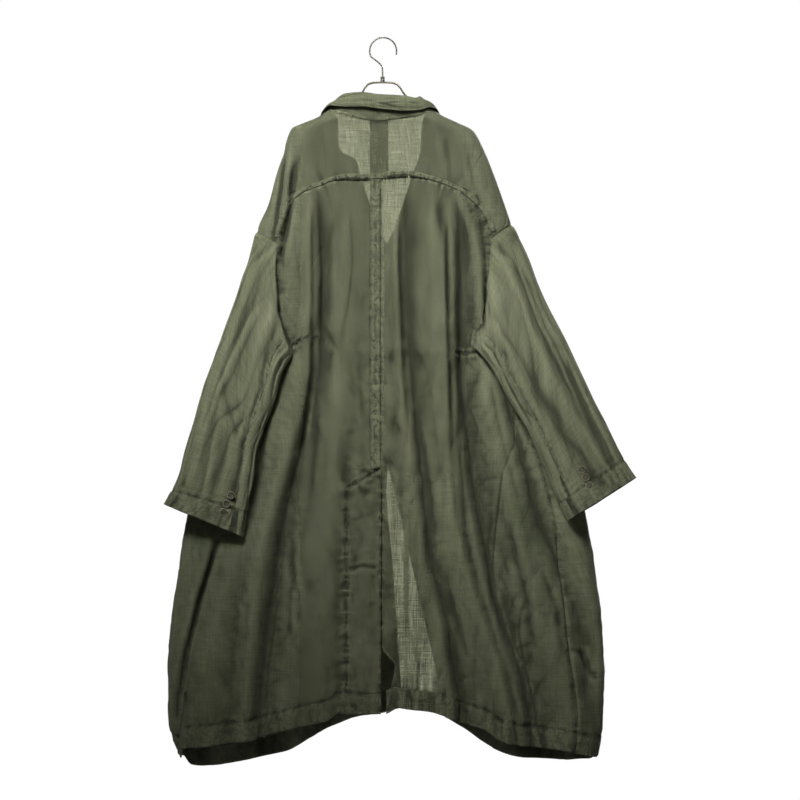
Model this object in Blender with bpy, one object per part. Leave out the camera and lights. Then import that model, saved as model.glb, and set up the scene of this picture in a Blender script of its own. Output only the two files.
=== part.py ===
"""Linen long coat, unlined, hanging on a wire hanger. Metres, +Z up, back of the coat towards -Y.

The origin is the underside of the hook's bend, where a rail holds the hanger. The wearer's left is
at -X. The coat is a hollow tube of cloth: body_point gives its surface from the girth coordinate s
(-1 to 1 across the back, past -1 and 1 round the sides onto the fronts) and the height z. Every
body panel is a patch of that surface with a wall's thickness. The tables are in millimetres.
"""

import math
from collections import namedtuple

import bpy
import numpy as np

MM = 0.001
CLOTH = 1.5 * MM
HEM_WALL = 2.6 * MM
HEM_DEPTH = 38 * MM
HEM_STEP = 4 * MM
HEM_LEVEL = -1340 * MM
HEM_SIDE = -1373 * MM
HEM_SIDE_SHARE = 0.06
CUFF_WALL = 2.2 * MM
FACING = 1.0 * MM
UNDERARM = -590 * MM
CENTRE_SEAM_X = -3 * MM
CENTRE_SEAM_TOP = -271 * MM
CENTRE_HEM = -1285 * MM
SIDE_HEM_LEFT = -1384 * MM
SIDE_HEM_RIGHT = (364 * MM, -1364 * MM)
SEAM_GAP = 0.3 * MM
BAND = 1.2 * MM
VENT_STRIPS = (70 * MM, 53 * MM, 37 * MM, 20 * MM)
VENT_TOP = -820 * MM
UNDERLAP_DEPTH = 6.5 * MM
UNDERLAP_WIDTH = 62 * MM
UNDERLAP_SHORTER = 3 * MM
OVERLAP_DEPTH = 5.0 * MM
OVERLAP_TOP = -385 * MM
OVERLAP_WIDTH = 30 * MM
LAP_FADE = 60 * MM
FOLD_FADE = 70 * MM
ARMHOLE_DRAW = 0.7 * MM
HEAD_RISE = (2 * MM, 7 * MM)
UNDERARM_CLEAR = 4 * MM

NECK_POINT = -135 * MM

BACK_COLUMNS = 22
FRONT_COLUMNS = 13
SKIRT_ROWS = 10
SKIRT_CROWD = 1.6
YOKE_ROWS = 5
ARMHOLE_ROWS = 8
SEAM_STATIONS = 60
YOKE_BAND = 9.5 * MM
YOKE_BAND_DRAW = 0.6 * MM
SEAM_PULL = 4.0
ARCH_PULL = 1.5
SLEEVE_STATIONS = (3, 8, 9)
SLEEVE_BACK_SEAM = 8
SLEEVE_FRONT_SEAM = 14

LINEN = (0.085, 0.098, 0.055)
LINEN_DARK = (0.065, 0.075, 0.042)
HORN = (0.055, 0.045, 0.030)
STEEL = (0.55, 0.55, 0.53)

# The body's outline seen from the back, its half depths, and how far its sides round away.
Section = namedtuple("Section", "z left right back front round")
SECTIONS = (
    Section(-135, -100, 92, 27, 28, 46),
    Section(-141, -109, 104, 27, 28, 46),
    Section(-149, -121, 117, 26, 27, 46),
    Section(-156, -136, 132, 26, 27, 46),
    Section(-164, -157, 149, 25, 27, 46),
    Section(-171, -172, 166, 25, 27, 46),
    Section(-179, -178, 176, 25, 27, 46),
    Section(-207, -187, 191, 25, 27, 48),
    Section(-264, -202, 214, 27, 29, 55),
    Section(-321, -219, 233, 30, 32, 62),
    Section(-369, -238, 246, 32, 34, 70),
    Section(-420, -240, 247, 33, 36, 76),
    Section(-500, -222, 222, 34, 39, 80),
    Section(-550, -198, 194, 34, 40, 80),
    Section(-590, -172, 181, 34, 40, 82),
    Section(-616, -188, 199, 32, 40, 84),
    Section(-654, -211, 229, 33, 41, 88),
    Section(-692, -231, 256, 35, 42, 94),
    Section(-749, -270, 292, 37, 45, 102),
    Section(-806, -309, 328, 39, 48, 110),
    Section(-863, -345, 362, 42, 51, 118),
    Section(-914, -374, 388, 45, 54, 122),
    Section(-1015, -390, 406, 50, 59, 122),
    Section(-1110, -401, 415, 54, 64, 122),
    Section(-1224, -409, 421, 59, 70, 122),
    Section(-1307, -408, 419, 61, 74, 122),
    Section(-1372, -389, 410, 62, 76, 122),
    Section(-1410, -384, 408, 62, 76, 122),
)

# Folds of the back, from the wearer's left to right. Heights and depths outwards are positive for a
# ridge. The path's pairs are (z, x), and left and right are how soft each flank is.
Fold = namedtuple("Fold", "high low left right path")
BACK_FOLDS = (
    Fold(-6, -4, 9, 7, ((-240, -186), (-280, -192), (-370, -206))),
    Fold(7, 5, 8, 8, ((-235, -176), (-300, -178), (-370, -192))),
    Fold(-8, -6, 7, 10, ((-255, -166), (-330, -178), (-460, -198))),
    Fold(9, 10, 15, 15, ((-320, -138), (-590, -140), (-700, -158), (-830, -190), (-960, -224),
                         (-1150, -250), (-1290, -262))),
    Fold(-15, -17, 13, 24, ((-340, -120), (-480, -113), (-620, -122), (-760, -150), (-900, -182),
                            (-1060, -208), (-1200, -226), (-1300, -236))),
    Fold(5, 5, 16, 20, ((-420, -84), (-700, -76), (-1000, -106), (-1250, -120))),
    Fold(-4, -6, 14, 16, ((-600, -58), (-900, -74), (-1260, -86))),
    Fold(-9, -18, 12, 15, ((-320, 46), (-440, 44), (-640, 55), (-820, 74), (-970, 90),
                           (-1120, 124), (-1260, 146))),
    Fold(12, 15, 22, 13, ((-330, 92), (-440, 112), (-640, 118), (-820, 132), (-940, 142),
                          (-1060, 172), (-1180, 212), (-1290, 240))),
    Fold(-16, -20, 13, 20, ((-340, 146), (-500, 150), (-640, 152), (-830, 170), (-960, 192),
                            (-1080, 218), (-1200, 258), (-1300, 282))),
    Fold(8, 6, 10, 8, ((-300, 146), (-430, 184), (-560, 192))),
    Fold(-8, -7, 7, 8, ((-330, 184), (-460, 202), (-560, 204))),
    Fold(12, 16, 14, 20, ((-620, 196), (-760, 220), (-900, 244), (-1030, 278), (-1150, 316),
                          (-1270, 352))),
    Fold(-14, -16, 14, 14, ((-640, 222), (-790, 262), (-900, 296), (-990, 328), (-1110, 376),
                            (-1180, 392))),
    Fold(7, 8, 12, 12, ((-700, 258), (-850, 300), (-950, 318))),
    Fold(10, 8, 14, 16, ((-880, 320), (-1000, 370), (-1090, 398))),
    Fold(-12, -14, 8, 13, ((-950, -312), (-1080, -346), (-1180, -370), (-1330, -394))),
    Fold(8, 8, 14, 16, ((-930, -270), (-1060, -296), (-1200, -318), (-1320, -322))),
    Fold(-7, -10, 14, 16, ((-1000, -262), (-1180, -284), (-1330, -292))),
)
FRONT_FOLDS = (
    Fold(8, 12, 16, 20, ((-420, -130), (-700, -150), (-1000, -190), (-1330, -236))),
    Fold(-10, -16, 16, 20, ((-460, -100), (-760, -112), (-1050, -140), (-1350, -170))),
    Fold(7, 12, 18, 18, ((-640, -60), (-900, -80), (-1320, -110))),
    Fold(-8, -14, 16, 16, ((-700, -190), (-1000, -260), (-1350, -310))),
    Fold(-12, -17, 16, 20, ((-440, 118), (-760, 140), (-1060, 186), (-1330, 226))),
    Fold(9, 13, 16, 20, ((-420, 88), (-700, 96), (-1000, 128), (-1300, 160))),
    Fold(8, 12, 18, 20, ((-660, 186), (-960, 240), (-1320, 292))),
    Fold(-8, -14, 18, 18, ((-740, 228), (-1060, 300), (-1340, 350))),
)

# Seam lines as (x, z) pairs.
YOKE_SEAM_LEFT = ((-198, -395), (-190, -362), (-181, -336), (-170, -315), (-151, -298), (-116, -284),
                  (-96, -276), (-67, -270), (-43, -271), (-3, -271))
YOKE_SEAM_RIGHT = ((-3, -271), (20, -265), (44, -264), (73, -269), (102, -277), (130, -287),
                   (150, -298), (170, -314), (189, -333), (201, -355), (209, -384))
NECK_SEAM = ((-100, -135), (-80, -142), (-60, -147), (-41, -151), (-22, -155), (12, -153),
             (40, -149), (62, -146), (80, -141), (92, -135))
ARMHOLE_BACK_LEFT = ((-172, -590), (-180, -568), (-190, -545), (-199, -520), (-204, -495),
                     (-205, -468), (-204, -445), (-201, -420), (-198, -395))
ARMHOLE_BACK_RIGHT = ((181, -590), (185, -566), (193, -543), (201, -520), (206, -495),
                      (207, -468), (207, -440), (206, -412), (209, -384))
ARMHOLE_FRONT_LEFT = ((-172, -590), (-167, -568), (-161, -542), (-158, -515), (-160, -485),
                      (-166, -455), (-178, -425), (-196, -400), (-216, -384), (-238, -369))
ARMHOLE_FRONT_RIGHT = ((181, -590), (173, -566), (166, -540), (161, -512), (162, -482),
                       (168, -452), (180, -420), (198, -393), (220, -374), (243, -357))
SHOULDER_TURN_LEFT = ((-198, -395), (-210, -388), (-223, -380), (-238, -369))
SHOULDER_TURN_RIGHT = ((209, -384), (221, -374), (232, -366), (243, -357))
SIDE_SEAM_RIGHT = ((181, -590), (196, -616), (222, -654), (244, -692), (298, -806), (326, -914),
                   (342, -1060), (352, -1180), (364, -1290), (364, -1364))
# The hem's lower edge as (x, z) pairs.
HEM_BACK = ((-389, -1372), (-381, -1354), (-362, -1351), (-292, -1341), (-248, -1336),
            (-204, -1324), (-150, -1309), (-100, -1298), (-81, -1285), (-43, -1286), (-3, -1285),
            (26, -1273), (39, -1276), (88, -1281), (113, -1288), (140, -1301), (195, -1316),
            (224, -1336), (289, -1350), (339, -1354), (370, -1362), (410, -1372))
HEM_FRONT = ((-389, -1374), (-379, -1394), (-358, -1398), (-292, -1393), (-237, -1382),
             (-194, -1371), (-150, -1352), (-100, -1326), (-40, -1306), (40, -1300), (110, -1312),
             (155, -1329), (201, -1359), (247, -1379), (282, -1386), (339, -1387), (400, -1382),
             (410, -1374))
# The side seam of the wearer's left lies on the front sheet, this far round from the side edge.
SIDE_SEAM_LEFT_ROUND = ((-590, 0), (-700, 14), (-900, 52), (-1100, 112), (-1400, 180))

# The fronts' inner edges, from the neck point down: the V of the neck, the buttoned lap, then open.
FRONT_EDGE_LEFT = ((-100, -135), (-89, -150), (-86, -178), (-80, -206), (-52, -228), (-40, -262),
                   (-24, -317), (-8, -362), (14, -406), (23, -450), (24, -590), (22, -700),
                   (12, -800), (7, -868), (18, -996), (26, -1110), (33, -1205), (38, -1300))
FRONT_EDGE_RIGHT = ((92, -135), (78, -150), (74, -180), (72, -213), (56, -262), (38, -317),
                    (22, -362), (2, -406), (-10, -450), (-12, -590), (-12, -700), (0, -790),
                    (14, -835), (40, -940), (64, -1045), (88, -1150), (109, -1243), (122, -1312))
# Lapel height, width out from its roll line, and how far it stands off the front: at the roll line
# only LAPEL_SEAT of that.
LAPEL_SEAT = 0.25
LAPEL_INSET = 3.5 * MM
LAPEL = ((-228, 52, 2.4), (-250, 66, 2.6), (-290, 54, 2.6), (-340, 30, 2.4), (-380, 9, 2.2))

# Rings of each sleeve below the armhole: outer and inner edge with their depths, and half thickness.
Ring = namedtuple("Ring", "outer_x outer_z outer_y inner_x inner_z inner_y half")
SLEEVE_LEFT = (
    Ring(-253, -418, -2, -176, -606, -28, 26),
    Ring(-265, -458, -6, -187, -625, -36, 25),
    Ring(-278, -505, -11, -197, -648, -41, 24),
    Ring(-294, -559, -18, -203, -678, -45, 23),
    Ring(-314, -616, -25, -214, -714, -49, 22),
    Ring(-335, -678, -33, -227, -752, -53, 21),
    Ring(-354, -739, -41, -240, -789, -57, 20),
    Ring(-373, -796, -48, -244, -832, -60, 19),
    Ring(-389, -840, -53, -252, -876, -62, 19),
    Ring(-402, -868, -57, -259, -912, -65, 18),
    Ring(-413, -889, -60, -265, -950, -68, 16),
)
SLEEVE_RIGHT = (
    Ring(260, -388, -2, 186, -602, -28, 26),
    Ring(275, -420, -6, 200, -620, -36, 25),
    Ring(294, -466, -11, 216, -644, -41, 24),
    Ring(316, -518, -18, 232, -676, -45, 23),
    Ring(341, -571, -25, 252, -711, -49, 22),
    Ring(370, -631, -33, 276, -750, -53, 21),
    Ring(398, -688, -41, 296, -792, -57, 20),
    Ring(427, -741, -48, 314, -834, -60, 19),
    Ring(451, -789, -53, 328, -874, -62, 19),
    Ring(466, -815, -57, 339, -896, -65, 18),
    Ring(481, -838, -60, 352, -919, -68, 16),
)
# Folds of a sleeve: depth, where it lies round (0 outer edge, 0.25 back, 0.5 inner edge) at its
# start and end, how wide, and its start and end along the sleeve.
SleeveFold = namedtuple("SleeveFold", "depth round_start round_end width start end")
SLEEVE_LEFT_FOLDS = (
    SleeveFold(6, 0.13, 0.09, 0.030, 0.05, 0.45),
    SleeveFold(-6, 0.19, 0.17, 0.035, 0.08, 0.60),
    SleeveFold(5, 0.27, 0.30, 0.035, 0.15, 0.85),
    SleeveFold(-5, 0.36, 0.25, 0.030, 0.20, 0.70),
    SleeveFold(4, 0.12, 0.16, 0.040, 0.50, 0.95),
    SleeveFold(5, 0.72, 0.76, 0.050, 0.10, 0.80),
    SleeveFold(-5, 0.84, 0.80, 0.050, 0.15, 0.75),
)
SLEEVE_RIGHT_FOLDS = (
    SleeveFold(7, 0.17, 0.26, 0.032, 0.04, 0.70),
    SleeveFold(-6, 0.10, 0.17, 0.030, 0.20, 0.80),
    SleeveFold(-5, 0.25, 0.33, 0.030, 0.10, 0.55),
    SleeveFold(5, 0.08, 0.08, 0.030, 0.30, 0.90),
    SleeveFold(-5, 0.33, 0.22, 0.030, 0.55, 0.95),
    SleeveFold(5, 0.72, 0.76, 0.050, 0.10, 0.80),
    SleeveFold(-5, 0.84, 0.80, 0.050, 0.15, 0.75),
)

# Collar, from the wearer's left front round the back neck to the right front.
CollarRow = namedtuple("CollarRow", "base fold edge")
COLLAR = (
    CollarRow((-93, 16, -142), (-92, 16, -134), (-128, 34, -172)),
    CollarRow((-97, 8, -136), (-97, 8, -128), (-121, 22, -152)),
    CollarRow((-100, 0, -133.5), (-99, 0, -126), (-114, -1, -139)),
    CollarRow((-93, -15.5, -137), (-90, -13, -121), (-101, -22, -131)),
    CollarRow((-78, -25.6, -141.8), (-70, -22, -109), (-76, -31, -133)),
    CollarRow((-41, -26.4, -150.3), (-41, -25, -107), (-42, -34, -134)),
    CollarRow((-5, -26.2, -153.3), (-2, -25, -111), (-3, -34, -138)),
    CollarRow((32, -26.4, -149.6), (36, -25, -113), (37, -34, -142)),
    CollarRow((66, -26.8, -144.2), (62, -22, -117), (66, -31, -141)),
    CollarRow((84, -19.4, -138.2), (82, -13, -121), (92, -22, -134)),
    CollarRow((92, 0, -133.5), (91, 0, -126), (104, -1, -136)),
    CollarRow((89, 8, -136), (88, 8, -128), (113, 22, -152)),
    CollarRow((85, 16, -142), (84, 16, -134), (120, 34, -172)),
)
COLLAR_STATIONS = 24

# Cuff and front buttons by (x, z), and their size.
CUFF_BUTTONS_LEFT = ((-286, -871), (-294, -887), (-299, -903))
CUFF_BUTTONS_RIGHT = ((376, -823), (383, -838), (390, -853))
FRONT_BUTTONS = ((7, -430), (7, -560), (7, -690))
CUFF_BUTTON_RADIUS = 7.6 * MM
FRONT_BUTTON_RADIUS = 10 * MM
BUTTON_HEIGHT = 2.8 * MM

# Hanger.
WIRE = 1.5 * MM
HOOK_RADIUS = 25.7 * MM
HOOK_TIP_DEGREES = -16
HOOK_HEEL_DEGREES = 205
# The origin is where the rail bears: the underside of the wire at the top of the bend.
HOOK_CENTRE = (1 * MM, WIRE - HOOK_RADIUS)
HOOK_SWAN = ((-12, -43), (-4, -50), (-0.5, -56), (0, -64), (0, -73))
FERRULE_RADIUS = 4.2 * MM
FERRULE_TOP = -73.4 * MM
FERRULE_LENGTH = 9 * MM
FRAME_HALF = ((0, 3.2, -84.4), (14, 3.6, -84.6), (24, 4.8, -86), (32, 6.4, -92), (40, 7, -105),
              (60, 6.8, -123), (86, 6.2, -139.8), (112, 6, -153.3), (134, 6, -165.3),
              (147, 5.5, -173.8), (155, 4, -179.8))


def smooth(at, xs, ys):
    """A curve through the points (xs rising) that never overshoots them, flat outside them."""
    xs, ys = np.asarray(xs, float), np.asarray(ys, float)
    at = np.clip(np.asarray(at, float), xs[0], xs[-1])
    steps = np.diff(xs)
    slopes = np.diff(ys) / steps
    tangents = np.zeros_like(ys)
    tangents[0], tangents[-1] = slopes[0], slopes[-1]
    same = slopes[:-1] * slopes[1:] > 0
    inner = np.zeros(len(slopes) - 1)
    inner[same] = 2 * slopes[:-1][same] * slopes[1:][same] / (slopes[:-1] + slopes[1:])[same]
    tangents[1:-1] = inner
    i = np.clip(np.searchsorted(xs, at, side="right") - 1, 0, len(steps) - 1)
    t = (at - xs[i]) / steps[i]
    rise = ys[i + 1] - ys[i]
    a, b = tangents[i] * steps[i], tangents[i + 1] * steps[i]
    return ys[i] + t * a + t**2 * (3 * rise - 2 * a - b) + t**3 * (a + b - 2 * rise)


def ease(t):
    t = np.clip(t, 0, 1)
    return t * t * (3 - 2 * t)


def section(z):
    """Outline, half depths and rounding of the body at the heights z, in metres."""
    rows = SECTIONS[::-1]
    heights = [row.z * MM for row in rows]
    return [
        smooth(z, heights, [getattr(row, name) * MM for row in rows])
        for name in ("left", "right", "back", "front", "round")
    ]


def half_girth(z, on_back):
    """Flat half width, then the length of the rounded side, of one sheet."""
    left, right, back, front, rounding = section(z)
    depth = np.where(on_back, back, front)
    return (right - left) / 2 - rounding, math.pi / 4 * (rounding + depth)


def girth_of(x, z, on_back=True):
    """How far across its sheet a point at x lies: 0 in the middle, -1 and 1 at the side edges."""
    left, right, _, _, rounding = section(z)
    flat, arc = half_girth(z, on_back)
    off = x - (left + right) / 2
    beyond = np.clip((np.abs(off) - flat) / rounding, 0, 1)
    length = np.minimum(np.abs(off), flat) + arc * np.arcsin(beyond) / (math.pi / 2)
    return np.sign(off) * length / (flat + arc)


def s_at(x, z, sheet="back"):
    """The girth coordinate s of a point at x on the back, the left front or the right front."""
    e = girth_of(x, z, sheet == "back")
    return {"back": e, "left": -2 - e, "right": 2 - e}[sheet]


def fold_lift(folds, e, z, half):
    """How far the folds push the cloth outwards at the place e across its sheet."""
    lift = np.zeros(np.broadcast(e, z).shape)
    for fold in folds:
        heights = [pair[0] * MM for pair in fold.path][::-1]
        places = [pair[1] * MM for pair in fold.path][::-1]
        centre = girth_of(smooth(z, heights, places), z)
        off = (e - centre) * half
        width = np.where(off < 0, fold.left, fold.right) * MM
        along = np.clip((heights[-1] - z) / (heights[-1] - heights[0]), 0, 1)
        depth = (fold.high + (fold.low - fold.high) * along) * MM
        fade = ease((heights[-1] - z) / FOLD_FADE + 0.5) * ease((z - heights[0]) / FOLD_FADE + 1)
        lift += depth * fade * np.exp(-((off / width) ** 2))
    return lift


def body_point(s, z):
    """The coat's outer surface at girth s and height z."""
    s, z = np.broadcast_arrays(np.asarray(s, float), np.asarray(z, float))
    left, right, back, front, rounding = section(z)
    on_back = np.abs(s) <= 1
    e = np.where(on_back, s, np.where(s < 0, -2 - s, 2 - s))
    depth = np.where(on_back, back, front)
    flat, arc = half_girth(z, on_back)
    length = np.abs(e) * (flat + arc)
    angle = np.clip((length - flat) / arc, 0, 1) * math.pi / 2
    facing = np.where(on_back, -1.0, 1.0)
    side = np.sign(e)
    x = (left + right) / 2 + side * (np.minimum(length, flat) + rounding * np.sin(angle))
    y = facing * depth * np.cos(angle)
    out_x = side * depth * np.sin(angle)
    out_y = facing * rounding * np.cos(angle)
    size = np.hypot(out_x, out_y)
    lift = np.where(
        on_back,
        fold_lift(BACK_FOLDS, e, z, flat + arc),
        fold_lift(FRONT_FOLDS, e, z, flat + arc),
    )
    lift = lift * (1 - ease((np.abs(e) - 0.88) / 0.12))
    return np.stack([x + out_x / size * lift, y + out_y / size * lift, z], axis=-1)


def body_normal(s, z):
    """The outward direction of the body's surface."""
    ds, dz = 0.004, 2 * MM
    across = body_point(s + ds, z) - body_point(s - ds, z)
    up = body_point(s, z + dz) - body_point(s, z - dz)
    normal = np.cross(across, up)
    return normal / np.linalg.norm(normal, axis=-1, keepdims=True)


def resample(points, count):
    """count + 1 points evenly spaced along a smooth curve through the given ones."""
    points = np.asarray(points, float)
    steps = np.linalg.norm(np.diff(points, axis=0), axis=1)
    along = np.concatenate([[0], np.cumsum(steps)])
    at = np.linspace(0, along[-1], count + 1)
    return np.stack([smooth(at, along, column) for column in points.T], axis=-1)


def seam(points, count, sheet="back"):
    """A seam given by (x, z) pairs, as count + 1 pairs (s, z) on the body."""
    line = resample(np.asarray(points, float) * MM, count)
    return np.stack([s_at(line[:, 0], line[:, 1], sheet), line[:, 1]], axis=-1)


def hem_height(s):
    """Height of the hem at the girth coordinate s."""
    s = np.asarray(s, float)
    left, right, _, _, rounding = section(HEM_LEVEL)
    on_back = np.abs(s) <= 1
    e = np.where(on_back, s, np.where(s < 0, -2 - s, 2 - s))
    flat, arc = half_girth(HEM_LEVEL, on_back)
    length = np.abs(e) * (flat + arc)
    angle = np.clip((length - flat) / arc, 0, 1) * math.pi / 2
    x = (left + right) / 2 + np.sign(e) * (np.minimum(length, flat) + rounding * np.sin(angle))
    back = smooth(x, [p[0] * MM for p in HEM_BACK], [p[1] * MM for p in HEM_BACK])
    front = smooth(x, [p[0] * MM for p in HEM_FRONT], [p[1] * MM for p in HEM_FRONT])
    share = ease((1 - np.abs(e)) / HEM_SIDE_SHARE)
    return HEM_SIDE + (np.where(on_back, back, front) - HEM_SIDE) * share


def skirt_heights(bottom, top):
    """Heights up a skirt edge: the hem's edge, both sides of its fold, then closer to the armhole."""
    hem_top = bottom + HEM_DEPTH
    start = hem_top + HEM_STEP
    below = np.linspace(1, 0, SKIRT_ROWS + 1) ** SKIRT_CROWD
    return np.concatenate([[bottom, hem_top], top - (top - start) * below])


def coons(left, right, bottom, top, low=1.0, high=1.0):
    """A grid between four edges of matching stations, rows rising from bottom to top.

    A larger low carries the bottom edge's shape further up, a larger high the top's less far down.
    """

    def shares(line):
        steps = np.hypot(np.diff(line[:, 0]) * 0.3, np.diff(line[:, 1]))
        along = np.concatenate([[0], np.cumsum(steps)])
        return along / along[-1]

    u = ((shares(bottom) + shares(top)) / 2)[None, :, None]
    v = ((shares(left) + shares(right)) / 2)[:, None, None]
    sides = (1 - u) * left[:, None] + u * right[:, None]
    bowed_low = bottom[None] - (1 - u) * bottom[0] - u * bottom[-1]
    bowed_high = top[None] - (1 - u) * top[0] - u * top[-1]
    return sides + (1 - v**low) * bowed_low + v**high * bowed_high


def material(name, colour, roughness, metallic=0.0):
    made = bpy.data.materials.new(name)
    made.use_nodes = True
    shader = made.node_tree.nodes["Principled BSDF"]
    shader.inputs["Base Color"].default_value = (*colour, 1)
    shader.inputs["Roughness"].default_value = roughness
    shader.inputs["Metallic"].default_value = metallic
    made.diffuse_color = (*colour, 1)
    return made


def solid(name, points, triangles, finish, sharp=50):
    """A closed mesh object whose faces point outwards."""
    points = np.asarray(points, float)
    triangles = np.asarray(triangles, int)
    a, b, c = (points[triangles[:, i]] for i in range(3))
    if np.einsum("ij,ij->i", a, np.cross(b, c)).sum() < 0:
        triangles = triangles[:, ::-1]
    mesh = bpy.data.meshes.new(name)
    mesh.from_pydata([tuple(p) for p in points], [], [tuple(int(i) for i in t) for t in triangles])
    mesh.shade_smooth()
    mesh.set_sharp_from_angle(angle=math.radians(sharp))
    made = bpy.data.objects.new(name, mesh)
    made.data.materials.append(finish)
    bpy.context.scene.collection.objects.link(made)
    return made


def wall(name, outer, inner, finish):
    """A closed wall between two grids of points of the same shape."""
    rows, columns = outer.shape[:2]
    index = np.arange(rows * columns).reshape(rows, columns)
    shift = rows * columns
    a, b = index[:-1, :-1].ravel(), index[:-1, 1:].ravel()
    c, d = index[1:, 1:].ravel(), index[1:, :-1].ravel()
    faces = [np.stack([a, b, c], 1), np.stack([a, c, d], 1)]
    faces += [np.stack([a, c, b], 1) + shift, np.stack([a, d, c], 1) + shift]
    # Both edges of a seam split their rim the same way, so that their faces stay parallel.
    for line in (index[0], index[:, -1]):
        near, far = line[:-1], line[1:]
        faces += [np.stack([near, near + shift, far + shift], 1), np.stack([near, far + shift, far], 1)]
    for line in (index[-1], index[:, 0]):
        near, far = line[:-1], line[1:]
        faces += [np.stack([near, far + shift, near + shift], 1), np.stack([near, far, far + shift], 1)]
    points = np.concatenate([outer.reshape(-1, 3), inner.reshape(-1, 3)])
    return solid(name, points, np.concatenate(faces), finish)


def inset(grid, low_u=True, high_u=True, low_v=True, high_v=True, amount=SEAM_GAP / 2):
    """The grid with its chosen edges drawn in square to themselves, which leaves a seam's gap."""
    grid = grid.copy()

    def draw(edge, beside):
        along = np.gradient(edge, axis=0)
        along /= np.linalg.norm(along, axis=-1, keepdims=True)
        step = beside - edge
        step -= along * (along * step).sum(axis=-1, keepdims=True)
        return edge + step * (amount / np.linalg.norm(step, axis=-1, keepdims=True))

    if low_u:
        grid[:, 0] = draw(grid[:, 0], grid[:, 1])
    if high_u:
        grid[:, -1] = draw(grid[:, -1], grid[:, -2])
    if low_v:
        grid[0] = draw(grid[0], grid[1])
    if high_v:
        grid[-1] = draw(grid[-1], grid[-2])
    return grid


def panel(name, grid_sz, finish, thickness=CLOTH, sink=0.0, edges=(True, True, True, True)):
    """A body panel: a wall on the grid of (s, z) places, sunk inwards where it lies under another.

    Returns its outer points, its inner points and the directions outwards.
    """
    s, z = grid_sz[..., 0], grid_sz[..., 1]
    normal = body_normal(s, z)
    outer = body_point(s, z) - normal * np.broadcast_to(sink, s.shape)[..., None]
    inner = outer - normal * np.broadcast_to(thickness, s.shape)[..., None]
    outer, inner = inset(outer, *edges), inset(inner, *edges)
    wall(name, outer, inner, finish)
    return outer, inner, normal


def hem_thickness(rows, columns):
    """Doubled cloth in the turned-up hem, single above."""
    thickness = np.full((rows, columns), CLOTH)
    thickness[:2] = HEM_WALL
    return thickness


def on_top(name, outer, normal, finish, thickness=BAND, clear=SEAM_GAP):
    """A piece that lies on a panel, made from the panel's outer points moved out."""
    return wall(name, outer + normal * (clear + thickness), outer + normal * clear, finish)


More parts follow.
